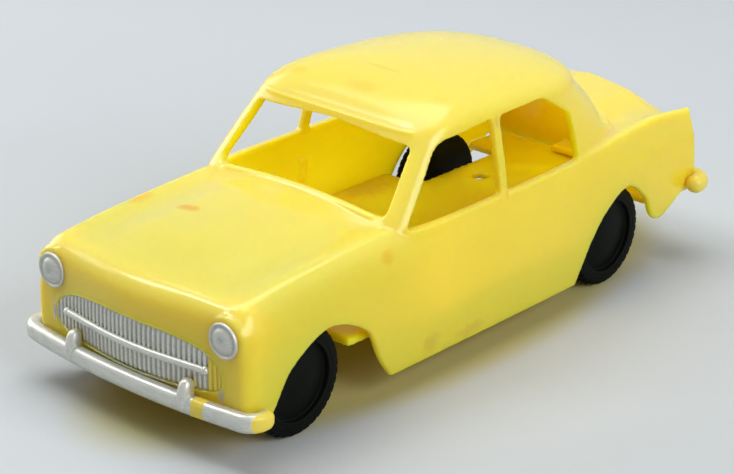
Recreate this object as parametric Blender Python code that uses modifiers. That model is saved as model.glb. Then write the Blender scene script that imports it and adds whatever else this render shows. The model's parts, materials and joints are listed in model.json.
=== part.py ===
"""Plastic model car: a one-piece saloon body on a flat base, with two axles and four wheels.

Metres, +Z up. The car stands on Z = 0, its nose points to -Y and its left side is +X.
"""

import math

import bmesh
import bpy
import numpy as np
from mathutils import Matrix

# Overall size and wall
LENGTH = 0.105
DOOR_HALF = 0.01995
ROOF_Z = 0.0378
BELT_Z = 0.0226
WALL = 0.0011
END_WALL = 0.0020
JOIN = 0.0006
FIT_GAP = 0.0003

# Lower body along the car: the panels stand inside the bumpers, the axles inside the panels
BUMPER_STAND = 0.0015
REAR_BUMPER_STAND = 0.0021
FRONT_OVERHANG = 0.0132
REAR_OVERHANG = 0.0215
NOSE_Y = BUMPER_STAND - LENGTH / 2
TAIL_Y = LENGTH / 2 - REAR_BUMPER_STAND
FRONT_AXLE_Y = NOSE_Y + FRONT_OVERHANG
REAR_AXLE_Y = TAIL_Y - REAR_OVERHANG
COWL_Y = -0.0190
DOOR_Y = 0.0015
BOOT_Y = 0.0375

# Wheels and axles
WHEEL_RADIUS = 0.0077
WHEEL_WIDTH = 0.0040
WHEEL_INSET = 0.0021
WHEEL_FACE_X = DOOR_HALF - WHEEL_INSET
AXLE_RADIUS = 0.0009
AXLE_PLAY = 0.00006
PRESS_GAP = 0.00004
TREAD_NOTCHES = 36
TREAD_DEPTH = 0.00032
RIM_RADIUS = 0.0055
DISH_DEPTH = 0.0008
HUB_RADIUS = 0.0015
HUB_WALL = 0.0012

# Lower body, seen from the side: its upper lines are measured from the belt line
SILL_Z = 0.0033
NOSE_LOW_Z = 0.0062
TAIL_LOW_Z = 0.0102
FLANK_Z = 0.0135
WING_NOSE_DROP = 0.0017
WING_COWL_RISE = 0.0007
FIN_RISE = 0.0012
BONNET_NOSE_DROP = 0.0018
BONNET_COWL_RISE = 0.0017
BOOT_RISE = 0.0024
BOOT_TAIL_DROP = 0.0007
WING_NOSE_Z = BELT_Z - WING_NOSE_DROP
WING_COWL_Z = BELT_Z + WING_COWL_RISE
FIN_Z = BELT_Z + FIN_RISE
FIN_TIP_Z = BELT_Z
BONNET_NOSE_Z = BELT_Z - BONNET_NOSE_DROP
BONNET_COWL_Z = BELT_Z + BONNET_COWL_RISE
BOOT_Z = BELT_Z + BOOT_RISE
BOOT_TAIL_Z = BELT_Z - BOOT_TAIL_DROP

# Lower body, seen from above and from the front: measured in from the doors
NOSE_TAPER = 0.00005
TAIL_TAPER = 0.00075
WING_CROWN_IN = 0.00345
DOOR_CROWN_IN = 0.00135
FIN_CROWN_IN = 0.00140
VALLEY_IN = 0.0030
NOSE_HALF = DOOR_HALF - NOSE_TAPER
TAIL_HALF = DOOR_HALF - TAIL_TAPER
WING_CROWN_X = DOOR_HALF - WING_CROWN_IN
DOOR_CROWN_X = DOOR_HALF - DOOR_CROWN_IN
FIN_CROWN_X = TAIL_HALF - FIN_CROWN_IN
VALLEY_X = WING_CROWN_X - VALLEY_IN
WING_VALLEY = 0.0004
FIN_VALLEY = 0.0024
SILL_TUCK = 0.0005
SHOULDER_IN = 0.0014
DOOR_SHOULDER_IN = 0.0007
SHOULDER_DROP = 0.0019
NOSE_BOW = 0.0015
NOSE_FLAT_X = WING_CROWN_X
TAIL_BOW = 0.0014
NOSE_ROUND = 0.0026
NOSE_CORNER = 0.0015
TAIL_ROUND = 0.0006

# How the guide curves pass between their ends, as shares of a run or lengths along the car
WING_AT_AXLE = 0.64
BONNET_ROLL = 0.0060
BONNET_AT_ROLL = 0.40
BONNET_AT_AXLE = 0.82
DOOR_LEAD = 0.0100
DOOR_TRAIL = 0.0160
BELT_LIFT = 0.0003
BOOT_FLAT_SHARE = 0.70
BOOT_FALL = 0.0002

# Wheel arches, measured from each axle and from the wheel's top
FRONT_ARCH_AHEAD = 0.0069
FRONT_ARCH_BEHIND = 0.0161
FRONT_ARCH_DROP = 0.0006
FRONT_ARCH_TOP_Z = 2 * WHEEL_RADIUS - FRONT_ARCH_DROP
FRONT_ARCH_TOP_OFF = 0.0037
REAR_ARCH_AHEAD = 0.0098
REAR_ARCH_BEHIND = 0.0108
REAR_ARCH_CLEAR = 0.0001
REAR_ARCH_TOP_Z = 2 * WHEEL_RADIUS + REAR_ARCH_CLEAR
REAR_ARCH_TOP_OFF = 0.0017
REAR_SKIRT_Z = 0.0077
REAR_SKIRT_ROUND = 0.0015
REAR_SKIRT_RUN = 0.0058

# Cabin: its foot stands a step inside the doors, its rails lean in, its dome rises over the header
CABIN_STEP = 0.00065
RAIL_LEAN = 0.0026
DOME_RISE = 0.0052
CABIN_HALF = DOOR_HALF - CABIN_STEP
RAIL_HALF = CABIN_HALF - RAIL_LEAN
HEADER_Z = ROOF_Z - DOME_RISE
SCREEN_FOOT_Y = -0.0209
SCREEN_TOP_Y = -0.0121
REAR_FOOT_Y = 0.0387
REAR_TOP_Y = 0.0295
CROWN_Y = 0.0045
SCREEN_SQUARE = 9.0
RAIL_SQUARE = 7.0
REAR_SQUARE = 3.0
CROWN_SQUARE = 2.5
DOME_POWER = 2.3
ROOF_TILT_DEG = 2.5

# Window openings, inside the pillars and between belt and header
FRONT_PILLAR_FOOT = 0.0038
FRONT_PILLAR_TOP = 0.0027
REAR_PILLAR_FOOT = 0.0030
REAR_PILLAR_TOP = 0.0055
SCREEN_FOOT_HALF = CABIN_HALF - FRONT_PILLAR_FOOT
SCREEN_TOP_HALF = RAIL_HALF - FRONT_PILLAR_TOP
REAR_FOOT_HALF = CABIN_HALF - REAR_PILLAR_FOOT
REAR_LIGHT_TOP_HALF = RAIL_HALF - REAR_PILLAR_TOP
SCREEN_FOOT_RISE = 0.0013
SCREEN_TOP_DROP = 0.0006
REAR_LIGHT_FOOT_RISE = 0.0012
REAR_LIGHT_TOP_DROP = 0.0028
REAR_LIGHT_ARCH = 0.0013
WINDOW_TOP_RISE = 0.0004
SCREEN_FOOT_Z = BELT_Z + SCREEN_FOOT_RISE
SCREEN_TOP_Z = HEADER_Z - SCREEN_TOP_DROP
REAR_LIGHT_FOOT_Z = BELT_Z + REAR_LIGHT_FOOT_RISE
REAR_LIGHT_TOP_Z = HEADER_Z - REAR_LIGHT_TOP_DROP
WINDOW_TOP_Z = HEADER_Z + WINDOW_TOP_RISE
FRONT_WINDOW_Y = -0.01805
PILLAR_FRONT_Y = 0.0009
PILLAR_REAR_Y = 0.0024
REAR_WINDOW_Y = 0.0194
CORNER = 0.0009
FRONT_WINDOW_RAKE = 0.0083
QUARTER_RUN = 0.0062
QUARTER_DROP = 0.0038
PILLAR_RAKE = 0.0008
WINDOW_ARCH = 0.0006
SCREEN_ARCH = 0.0007
PILLAR_RIB = 0.0005
PILLAR_SQUARE = 5.0
HEADER_BEAD = 0.0005
HEADER_BEAD_SET = 0.0002

# Grille, lamps and bumpers
GRILLE_MARGIN = 0.0043
GRILLE_BAR_MARGIN = 0.0028
LAMP_MARGIN = 0.0040
LAMP_DROP = 0.0039
LAMP_SET = 0.0010
BUMPER_OVERHANG = 0.0021
GRILLE_HALF = NOSE_HALF - GRILLE_MARGIN
GRILLE_Z = 0.0112
GRILLE_RISE = 0.0046
GRILLE_DROP = 0.0027
GRILLE_PITCH = 0.00082
GRILLE_RELIEF = 0.00035
GRILLE_LIP = 0.00034
GRILLE_RECESS = 0.00050
MOUTH_TOP_POWER = 2.6
MOUTH_FOOT_POWER = 3.5
GRILLE_BAR_Z = 0.0120
GRILLE_BAR_HALF = GRILLE_HALF - GRILLE_BAR_MARGIN
GRILLE_BAR_RADIUS = 0.0005
LAMP_X = NOSE_HALF - LAMP_MARGIN
LAMP_Z = WING_NOSE_Z - LAMP_DROP
LAMP_Y = NOSE_Y + LAMP_SET
LAMP_RADIUS = 0.0024
LAMP_POD = 0.0033
BUMPER_Z = 0.0069
BUMPER_RADIUS = 0.0010
BUMPER_HALF = NOSE_HALF + BUMPER_OVERHANG
BUMPER_WRAP = 0.0053
BUMPER_SWEEP = 0.0018
OVERRIDER_X = 0.0105
OVERRIDER_Z = 0.0083
OVERRIDER_HEIGHT = 0.0046
OVERRIDER_WIDTH = 0.0016
REAR_BUMPER_Z = 0.0116
REAR_BUMPER_RADIUS = 0.0014

# Base plate: it lies over the axles, and its wells and lugs stand clear of the wheels' inner faces
BASE_OVER_AXLE = 0.0030
BASE_TOP_Z = WHEEL_RADIUS + BASE_OVER_AXLE
BASE_THICK = 0.0012
WELL_GAP = 0.0023
BASE_WELL_X = WHEEL_FACE_X - WHEEL_WIDTH - WELL_GAP
BASE_WELL_AHEAD = 0.0090
BASE_WELL_BEHIND = 0.0100
LUG_INSET = 0.0015
LUG_X = BASE_WELL_X - LUG_INSET
LUG_THICK = 0.0024
LUG_LENGTH = 0.0034
LUG_REACH = 0.0022
CORE_HOLE = 0.0023
CORE_STEP = 0.0032
NIB_SIZE = 0.0012
NIB_AHEAD = 0.0120
NIB_BEHIND = 0.0100
LEDGE_HALF = 0.0050
LEDGE_REACH = 0.0030

# Fineness of the facets
SECTION_STEPS = 3
HOLLOW_STEPS = 1
ROUND_SIDES = 24
LAMP_SIDES = 18
AXLE_SIDES = 16

parts = bpy.data.collections.new("model_car")
cutters = bpy.data.collections.new("cutters")


def clear_scene():
    for old in list(bpy.data.objects):
        bpy.data.objects.remove(old)
    for collection in (parts, cutters):
        bpy.context.scene.collection.children.link(collection)
    cutters.hide_render = True


def material(name, colour, roughness, metallic=0.0):
    made = bpy.data.materials.new(name)
    made.use_nodes = True
    shader = made.node_tree.nodes["Principled BSDF"]
    shader.inputs["Base Color"].default_value = (*colour, 1.0)
    shader.inputs["Roughness"].default_value = roughness
    shader.inputs["Metallic"].default_value = metallic
    return made


def add(name, mesh, collection=cutters):
    made = bpy.data.objects.new(name, mesh)
    collection.objects.link(made)
    if collection is cutters:
        made.hide_render = True
        made.display_type = "WIRE"
    return made


def finished(name, points, faces):
    """A mesh object with its faces turned outwards."""
    mesh = bpy.data.meshes.new(name)
    mesh.from_pydata([tuple(map(float, point)) for point in points], [], faces)
    work = bmesh.new()
    work.from_mesh(mesh)
    bmesh.ops.remove_doubles(work, verts=work.verts, dist=1e-7)
    bmesh.ops.recalc_face_normals(work, faces=work.faces)
    if work.calc_volume(signed=True) < 0:
        bmesh.ops.reverse_faces(work, faces=work.faces)
    work.to_mesh(mesh)
    work.free()
    return add(name, mesh)


def boolean(target, tool, operation):
    step = target.modifiers.new(f"{operation} {tool.name}", "BOOLEAN")
    step.object = tool
    step.operation = operation
    step.solver = "MANIFOLD"


def applied(name, source, collection):
    """A plain mesh object of what another object's modifiers make of it."""
    graph = bpy.context.evaluated_depsgraph_get()
    mesh = bpy.data.meshes.new_from_object(source.evaluated_get(graph))
    work = bmesh.new()
    work.from_mesh(mesh)
    bmesh.ops.remove_doubles(work, verts=work.verts, dist=1e-7)
    work.to_mesh(mesh)
    work.free()
    made = add(name, mesh, collection)
    made.matrix_world = source.matrix_world
    return made


def curve_solid(name, points, radius, rounds=2, closed=False):
    """A round bar along a line of points, as a mesh. An open bar's ends are rounded off."""
    curve = bpy.data.curves.new(name, "CURVE")
    curve.dimensions = "3D"
    curve.bevel_depth = radius
    curve.bevel_resolution = rounds
    curve.use_fill_caps = not closed
    points = [np.array(point) for point in points]
    swell = [1.0] * len(points)
    if not closed:
        for end, inner in ((points[0], points[1]), (points[-1], points[-2])):
            out = (end - inner) / np.linalg.norm(end - inner)
            ends = [(end + out * radius * reach, share) for reach, share in ((0.5, 0.87), (0.85, 0.5))]
            if end is points[0]:
                head = ends[::-1]
        points = [point for point, _ in head] + points + [point for point, _ in ends]
        swell = [share for _, share in head] + swell + [share for _, share in ends]
    spline = curve.splines.new("POLY")
    spline.points.add(len(points) - 1)
    for knot, point, share in zip(spline.points, points, swell):
        knot.co = (*point, 1.0)
        knot.radius = share
    spline.use_cyclic_u = closed
    bar = add(f"{name}_line", curve)
    bpy.context.view_layer.update()
    made = applied(name, bar, cutters)
    bpy.data.objects.remove(bar)
    return made


def prism(name, outline, low, high, along):
    """A flat outline carried from low to high along X, Y or Z."""
    points = []
    for level in (low, high):
        for a, b in outline:
            points.append({"X": (level, a, b), "Y": (a, level, b), "Z": (a, b, level)}[along])
    count = len(outline)
    faces = [tuple(range(count)), tuple(range(2 * count - 1, count - 1, -1))]
    for k in range(count):
        n = (k + 1) % count
        faces.append((k, n, count + n, count + k))
    return finished(name, points, faces)


def block(name, low, high):
    outline = [(low[0], low[1]), (high[0], low[1]), (high[0], high[1]), (low[0], high[1])]
    return prism(name, outline, low[2], high[2], "Z")


def turned(name, profile, sides):
    """A profile of (radius, height) points, top to bottom, screwed round Z."""
    mesh = bpy.data.meshes.new(name)
    mesh.from_pydata([(r, 0.0, h) for r, h in profile], [(k, k + 1) for k in range(len(profile) - 1)], [])
    line = add(f"{name}_profile", mesh)
    screw = line.modifiers.new("turn", "SCREW")
    screw.steps = sides
    screw.render_steps = sides
    screw.use_merge_vertices = True
    screw.merge_threshold = 1e-6
    bpy.context.view_layer.update()
    made = applied(name, line, cutters)
    bpy.data.objects.remove(line)
    return made


def turn_to(obj, axis, location):
    """Lays a piece that was made along +Z along another axis, at a place."""
    turns = {"+X": ("Y", 90), "-X": ("Y", -90), "-Y": ("X", 90)}
    name, angle = turns[axis]
    obj.data.transform(Matrix.Translation(location) @ Matrix.Rotation(math.radians(angle), 4, name))
    return obj


def smooth(knots, values, at):
    """Monotone cubic interpolation: a guide curve that never overshoots its points."""
    knots = np.asarray(knots, float)
    values = np.asarray(values, float)
    steps = np.diff(knots)
    slopes = np.diff(values) / steps
    tangents = np.concatenate([slopes[:1], np.zeros(len(slopes) - 1), slopes[-1:]])
    for k in range(1, len(slopes)):
        if slopes[k - 1] * slopes[k] > 0:
            tangents[k] = 2 * slopes[k - 1] * slopes[k] / (slopes[k - 1] + slopes[k])
    at = np.clip(at, knots[0], knots[-1])
    k = np.clip(np.searchsorted(knots, at) - 1, 0, len(steps) - 1)
    t = (at - knots[k]) / steps[k]
    start = values[k] * (1 + 2 * t) * (1 - t) ** 2 + values[k + 1] * t * t * (3 - 2 * t)
    return start + steps[k] * (tangents[k] * t * (1 - t) ** 2 - tangents[k + 1] * t * t * (1 - t))


def through(points, per_span):
    """A smooth line through a few points, with per_span pieces between neighbours."""
    points = np.asarray(points, float)
    reach = np.concatenate([[0], np.cumsum(np.linalg.norm(np.diff(points, axis=0), axis=1))])
    at = np.concatenate(
        [np.linspace(a, b, per_span, endpoint=False) for a, b in zip(reach, reach[1:])] + [reach[-1:]]
    )
    return np.stack([smooth(reach, points[:, k], at) for k in range(points.shape[1])], axis=1)


def rounded(corners, steps=4):
    """An outline whose corners, each (a, b, radius), are rounded by arcs."""
    outline = []
    count = len(corners)
    for k, (a, b, radius) in enumerate(corners):
        here = np.array((a, b))
        before = np.array(corners[k - 1][:2]) - here
        after = np.array(corners[(k + 1) % count][:2]) - here
        before /= np.linalg.norm(before)
        after /= np.linalg.norm(after)
        half = math.acos(np.clip(before @ after, -1, 1)) / 2
        middle = (before + after) / np.linalg.norm(before + after)
        centre = here + middle * radius / math.sin(half)
        first = here + before * radius / math.tan(half) - centre
        last = here + after * radius / math.tan(half) - centre
        for t in np.linspace(0, 1, steps + 1):
            spoke = first * (1 - t) + last * t
            outline.append(tuple(centre + spoke * radius / np.linalg.norm(spoke)))
    return outline


# Guide curves of the lower body, each a height or a half-width along the car
def half_width(y):
    return smooth([NOSE_Y, FRONT_AXLE_Y, DOOR_Y, REAR_AXLE_Y, TAIL_Y],
                  [NOSE_HALF, (NOSE_HALF + 2 * DOOR_HALF) / 3, DOOR_HALF,
                   DOOR_HALF - SILL_TUCK / 3, TAIL_HALF], y)


def crown_x(y):
    return smooth([NOSE_Y, COWL_Y, DOOR_Y - DOOR_LEAD, DOOR_Y + DOOR_TRAIL, BOOT_Y, TAIL_Y],
                  [WING_CROWN_X, WING_CROWN_X, DOOR_CROWN_X, DOOR_CROWN_X, FIN_CROWN_X, FIN_CROWN_X], y)


def shoulder_in(y):
    return smooth([COWL_Y, DOOR_Y - DOOR_LEAD, DOOR_Y + DOOR_TRAIL, BOOT_Y],
                  [SHOULDER_IN, DOOR_SHOULDER_IN, DOOR_SHOULDER_IN, SHOULDER_IN], y)


def crown_z(y):
    rise = WING_COWL_Z - WING_NOSE_Z
    return smooth(
        [NOSE_Y, FRONT_AXLE_Y, COWL_Y, DOOR_Y - DOOR_LEAD, DOOR_Y + DOOR_TRAIL, BOOT_Y, TAIL_Y],
        [WING_NOSE_Z, WING_NOSE_Z + WING_AT_AXLE * rise, WING_COWL_Z, BELT_Z + BELT_LIFT, BELT_Z + BELT_LIFT,
         FIN_Z, FIN_TIP_Z], y)


def valley_drop(y):
    return smooth([NOSE_Y, FRONT_AXLE_Y, COWL_Y, BOOT_Y, TAIL_Y],
                  [0.0, WING_VALLEY, WING_VALLEY, FIN_VALLEY / 2, FIN_VALLEY], y)


def centre_z(y):
    rise = BONNET_COWL_Z - BONNET_NOSE_Z
    flat_end = BOOT_Y + BOOT_FLAT_SHARE * (TAIL_Y - BOOT_Y)
    return smooth([NOSE_Y, NOSE_Y + BONNET_ROLL, FRONT_AXLE_Y, COWL_Y, BOOT_Y, flat_end, TAIL_Y],
                  [BONNET_NOSE_Z, BONNET_NOSE_Z + BONNET_AT_ROLL * rise,
                   BONNET_NOSE_Z + BONNET_AT_AXLE * rise, BONNET_COWL_Z,
                   BOOT_Z, BOOT_Z - BOOT_FALL, BOOT_TAIL_Z], y)


def bow(x, y):
    """How far the nose and tail swell outwards along the car at this place."""
    nose_share = np.clip(1 - (x / NOSE_FLAT_X) ** 2, 0, 1) ** 2
    tail_share = np.clip(1 - (x / DOOR_HALF) ** 2, 0, 1)
    nose = np.clip((COWL_Y - y) / (COWL_Y - NOSE_Y - NOSE_BOW), 0, 1) ** 2
    tail = np.clip((y - BOOT_Y) / (TAIL_Y - TAIL_BOW - BOOT_Y), 0, 1) ** 2
    return tail_share * tail * TAIL_BOW - nose_share * nose * NOSE_BOW


def body_section(y, per_span):
    """Half of the lower body's outline at a station, from the sill over the wing to the centre."""
    wide = half_width(y)
    shoulder = shoulder_in(y)
    top_x = min(crown_x(y), wide - shoulder - JOIN)
    top_z = crown_z(y + bow(top_x, y))
    dip_z = top_z - valley_drop(y)
    mid_z = centre_z(y + bow(0, y))
    corners = [
        (wide - SILL_TUCK, SILL_Z),
        (wide - 0.2 * SILL_TUCK, (SILL_Z + FLANK_Z) / 2),
        (wide, FLANK_Z),
        (wide - 0.25 * shoulder, top_z - 2.5 * SHOULDER_DROP),
        (wide - shoulder, top_z - 0.8 * SHOULDER_DROP),
        (top_x, top_z),
        (VALLEY_X, dip_z),
        (0.55 * VALLEY_X, dip_z + 0.7 * (mid_z - dip_z)),
        (0.0, mid_z),
    ]
    return through(corners, per_span)


def inward(line, distance):
    """A section moved square to itself, towards the inside of the body."""
    along = np.gradient(line, axis=0)
    along /= np.linalg.norm(along, axis=1)[:, None]
    moved = line + distance * np.stack([-along[:, 1], along[:, 0]], axis=1)
    moved[-1, 0] = 0.0
    return moved


def shrunk(line, inset, drop):
    """A section drawn in from its sides and down from its top, for the round where an end face begins."""
    wide = line[:, 0].max()
    foot = line[0, 1]
    tall = line[:, 1].max() - foot
    return np.stack([line[:, 0] * (1 - inset / wide), foot + (line[:, 1] - foot) * (1 - drop / tall)], axis=1)


def body_block(name, wall, end_wall, foot):
    """The lower body as one closed block: its outer form, or with walls given, the hollow inside it."""
    nose = NOSE_Y + NOSE_BOW + end_wall
    tail = TAIL_Y - TAIL_BOW - end_wall
    per_span = HOLLOW_STEPS if wall else SECTION_STEPS
    stations = []
    for angle in np.radians((90, 65, 40, 20)):
        draw = 1 - math.cos(angle)
        stations.append((nose + NOSE_ROUND * (1 - math.sin(angle)), NOSE_CORNER * draw, NOSE_ROUND * draw))
    last = tail - TAIL_ROUND
    boot_run = TAIL_Y - TAIL_BOW - BOOT_Y
    boot_edge = [BOOT_Y + share * boot_run for share in (BOOT_FLAT_SHARE, (1 + BOOT_FLAT_SHARE) / 2)]
    along = [*np.linspace(nose + NOSE_ROUND, last, 6 * per_span), *(y for y in boot_edge if y < last)]
    for y in sorted(along):
        stations.append((y, 0.0, 0.0))
    for angle in np.radians((30, 60, 90)):
        draw = TAIL_ROUND * (1 - math.cos(angle))
        stations.append((tail - TAIL_ROUND * (1 - math.sin(angle)), draw, draw))
    rings = []
    for y, inset, drop in stations:
        line = shrunk(inward(body_section(y, per_span), wall), inset, drop)
        line[0, 1] = foot
        ring = [(x, y + bow(x, y), z) for x, z in line]
        ring += [(-x, y + bow(x, y), z) for x, z in line[-2::-1]]
        rings.append(ring)
    for end in (0, -1):
        middle_z = (GRILLE_Z + LAMP_Z) / 2
        edge_y = stations[end][0]
        for scale in (0.75, 0.45, 0.15):
            ring = []
            for x, _, z in rings[end]:
                ring.append((scale * x, edge_y + bow(scale * x, edge_y), middle_z + scale * (z - middle_z)))
            rings.insert(0 if end == 0 else len(rings), ring)
    return lofted(name, rings)


def lofted(name, rings):
    """A closed solid through rings of equally many points, with a flat face over each end."""
    size = len(rings[0])
    points = [point for ring in rings for point in ring]
    faces = []
    for k in range(len(rings) - 1):
        for i in range(size):
            n = (i + 1) % size
            faces.append((k * size + i, k * size + n, (k + 1) * size + n, (k + 1) * size + i))
    faces.append(tuple(range(size)))
    faces.append(tuple(range(len(points) - size, len(points))))
    return finished(name, points, faces)


def cabin_ring(level, step):
    """One level ring of the cabin: square-cornered at the screen, rounder at the rear light."""
    height, front, rear, half, front_power, rear_power = level
    angles = (0, 4, 14, 30, 48, 64, 77, 86, 90, 95, 104, 116, 130, 143, 155, 168, 180)
    ring = []
    for angle in np.radians(angles[::step]):
        power = front_power if angle < math.pi / 2 else rear_power
        reach = (front if angle < math.pi / 2 else rear) - CROWN_Y
        x = half * abs(math.sin(angle)) ** (2 / power)
        y = CROWN_Y + reach * abs(math.cos(angle)) ** (2 / power)
        ring.append((x, y, height))
    return ring + [(-x, y, z) for x, y, z in ring[-2:0:-1]]


def cabin_levels():
    """Levels from belt to crown: height, front, rear, half-width and the squareness of both ends."""
    dome = ROOF_Z - HEADER_Z
    levels = []
    for t in (0.0, 0.33, 0.66, 1.0):
        bulge = (4 * t + t * t) / 5
        levels.append((BELT_Z + t * (HEADER_Z - BELT_Z),
                       SCREEN_FOOT_Y + t * (SCREEN_TOP_Y - SCREEN_FOOT_Y),
                       REAR_FOOT_Y + bulge * (REAR_TOP_Y - REAR_FOOT_Y),
                       CABIN_HALF + bulge * (RAIL_HALF - CABIN_HALF),
                       SCREEN_SQUARE + t * (RAIL_SQUARE - SCREEN_SQUARE), REAR_SQUARE))
    lean = (SCREEN_TOP_Y - SCREEN_FOOT_Y) / (HEADER_Z - BELT_Z)
    for rise in (0.18, 0.36, 0.54, 0.70, 0.83, 0.93, 0.985):
        share = math.sqrt(1 - rise ** DOME_POWER)
        front = SCREEN_TOP_Y + lean * rise * dome * math.sqrt(1 - rise)
        levels.append((HEADER_Z + rise * dome, CROWN_Y + share * (front - CROWN_Y),
                       CROWN_Y + share * (REAR_TOP_Y - CROWN_Y), share * RAIL_HALF,
                       RAIL_SQUARE + rise * (CROWN_SQUARE - RAIL_SQUARE),
                       REAR_SQUARE + rise * (CROWN_SQUARE - REAR_SQUARE)))
    levels.append((ROOF_Z, CROWN_Y - JOIN, CROWN_Y + JOIN, JOIN, 2, 2))
    return levels


def cabin_block(name, wall, foot):
    """The cabin from its foot to the roof's crown, as one closed block: its outside or the hollow in it.

    Towards the header the hollow is rounder at its front corners, which leaves the screen pillars thick.
    """
    step = 2 if wall else 1
    levels = cabin_levels()
    levels[0] = (foot, *levels[0][1:])
    rings = []
    for level in levels[:4] + levels[4::step]:
        height, front, rear, half, front_power, rear_power = level
        up = np.clip((height - BELT_Z) / (HEADER_Z - BELT_Z), 0, 1)
        if wall:
            front_power -= up * max(front_power - PILLAR_SQUARE, 0.0)
        inset = 1.15 * wall
        lowered = height - wall * np.clip((height - BELT_Z) / (ROOF_Z - BELT_Z), 0, 1) ** 3
        tilt = math.tan(math.radians(ROOF_TILT_DEG)) * up
        narrow = max(half - inset, JOIN / 2) / half
        squeeze = max(1 - 2 * inset / (rear - front), 0.3)
        middle = (front + rear) / 2
        ring = []
        for x, y, _ in cabin_ring((height, front, rear, half, front_power, rear_power), step):
            ring.append((x * narrow, middle + (y - middle) * squeeze, lowered - tilt * (y - CROWN_Y)))
        rings.append(ring)
    return lofted(name, rings)


def header_bead():
    """The round bead along the roof's front edge, over the windscreen."""
    tilt = math.tan(math.radians(ROOF_TILT_DEG))
    ring = cabin_ring(cabin_levels()[3], 1)
    line = [(x, y + HEADER_BEAD_SET, z - tilt * (y - CROWN_Y)) for x, y, z in ring]
    front = sorted(point for point in line if point[1] < SCREEN_TOP_Y + FRONT_PILLAR_TOP)
    return curve_solid("header_bead", front, HEADER_BEAD, 1)


def underside_cutter():
    """All that lies below the body's lower edge: nose, both wheel arches, sills and tail.

    Each arch is drawn through shares of its length and rise, as its outline looks from the side.
    """
    front = FRONT_AXLE_Y
    rear = REAR_AXLE_Y
    front_rise = FRONT_ARCH_TOP_Z - NOSE_LOW_Z
    front_arch = through([
        (front - FRONT_ARCH_AHEAD, NOSE_LOW_Z),
        (front - 0.50 * FRONT_ARCH_AHEAD, NOSE_LOW_Z + 0.62 * front_rise),
        (front + FRONT_ARCH_TOP_OFF, FRONT_ARCH_TOP_Z),
        (front + 0.68 * FRONT_ARCH_BEHIND, NOSE_LOW_Z + 0.64 * front_rise),
        (front + 0.85 * FRONT_ARCH_BEHIND, NOSE_LOW_Z + 0.05 * front_rise),
        (front + FRONT_ARCH_BEHIND, SILL_Z),
    ], 4)
    rear_rise = REAR_ARCH_TOP_Z - SILL_Z
    rear_arch = through([
        (rear - REAR_ARCH_AHEAD, SILL_Z),
        (rear - 0.71 * REAR_ARCH_AHEAD, SILL_Z + 0.46 * rear_rise),
        (rear - 0.34 * REAR_ARCH_AHEAD, SILL_Z + 0.80 * rear_rise),
        (rear + REAR_ARCH_TOP_OFF, REAR_ARCH_TOP_Z),
        (rear + 0.63 * REAR_ARCH_BEHIND, SILL_Z + 0.74 * rear_rise),
        (rear + REAR_ARCH_BEHIND - REAR_SKIRT_ROUND, REAR_SKIRT_Z + 0.4 * REAR_SKIRT_ROUND),
        (rear + REAR_ARCH_BEHIND, REAR_SKIRT_Z),
        (rear + REAR_ARCH_BEHIND + REAR_SKIRT_RUN, TAIL_LOW_Z),
    ], 4)
    below = SILL_Z - 2 * WALL
    outline = [(-LENGTH, below), (-LENGTH, NOSE_LOW_Z), *front_arch, *rear_arch]
    outline += [(LENGTH, TAIL_LOW_Z), (LENGTH, below)]
    return prism("underside", [tuple(point) for point in outline], -2 * DOOR_HALF, 2 * DOOR_HALF, "X")


def window_cutters():
    """The six openings, as blocks that run right through the cabin's walls."""
    front_window = rounded([
        (FRONT_WINDOW_Y, BELT_Z, CORNER / 2),
        (PILLAR_FRONT_Y, BELT_Z, CORNER / 2),
        (PILLAR_FRONT_Y + PILLAR_RAKE, WINDOW_TOP_Z, CORNER),
        (FRONT_WINDOW_Y + FRONT_WINDOW_RAKE, WINDOW_TOP_Z - WINDOW_ARCH, 5 * CORNER),
    ])
    rear_window = rounded([
        (PILLAR_REAR_Y, BELT_Z, CORNER / 2),
        (REAR_WINDOW_Y, BELT_Z, CORNER / 2),
        (REAR_WINDOW_Y, WINDOW_TOP_Z - QUARTER_DROP, 1.5 * CORNER),
        (REAR_WINDOW_Y - QUARTER_RUN, WINDOW_TOP_Z, 5 * CORNER),
        (PILLAR_REAR_Y + PILLAR_RAKE, WINDOW_TOP_Z, CORNER),
    ])
    screen = rounded([
        (-SCREEN_FOOT_HALF, SCREEN_FOOT_Z, CORNER),
        (0.0, SCREEN_FOOT_Z + SCREEN_ARCH, 10 * CORNER),
        (SCREEN_FOOT_HALF, SCREEN_FOOT_Z, CORNER),
        (SCREEN_TOP_HALF, SCREEN_TOP_Z, CORNER),
        (0.0, SCREEN_TOP_Z + SCREEN_ARCH, 10 * CORNER),
        (-SCREEN_TOP_HALF, SCREEN_TOP_Z, CORNER),
    ])
    rear_light = rounded([
        (-REAR_FOOT_HALF, REAR_LIGHT_FOOT_Z, CORNER),
        (0.0, REAR_LIGHT_FOOT_Z + REAR_LIGHT_ARCH, 10 * CORNER),
        (REAR_FOOT_HALF, REAR_LIGHT_FOOT_Z, CORNER),
        (REAR_LIGHT_TOP_HALF, REAR_LIGHT_TOP_Z, 3 * CORNER),
        (-REAR_LIGHT_TOP_HALF, REAR_LIGHT_TOP_Z, 3 * CORNER),
    ])
    return [
        prism("front_windows", front_window, -2 * DOOR_HALF, 2 * DOOR_HALF, "X"),
        prism("rear_windows", rear_window, -2 * DOOR_HALF, 2 * DOOR_HALF, "X"),
        prism("windscreen", screen, NOSE_Y, DOOR_Y, "Y"),
        prism("rear_light", rear_light, DOOR_Y, REAR_FOOT_Y, "Y"),
    ]


def face_y(x):
    """Where the nose panel's front lies at this distance from the centre."""
    return NOSE_Y + NOSE_BOW + bow(x, NOSE_Y + NOSE_BOW)


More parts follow.
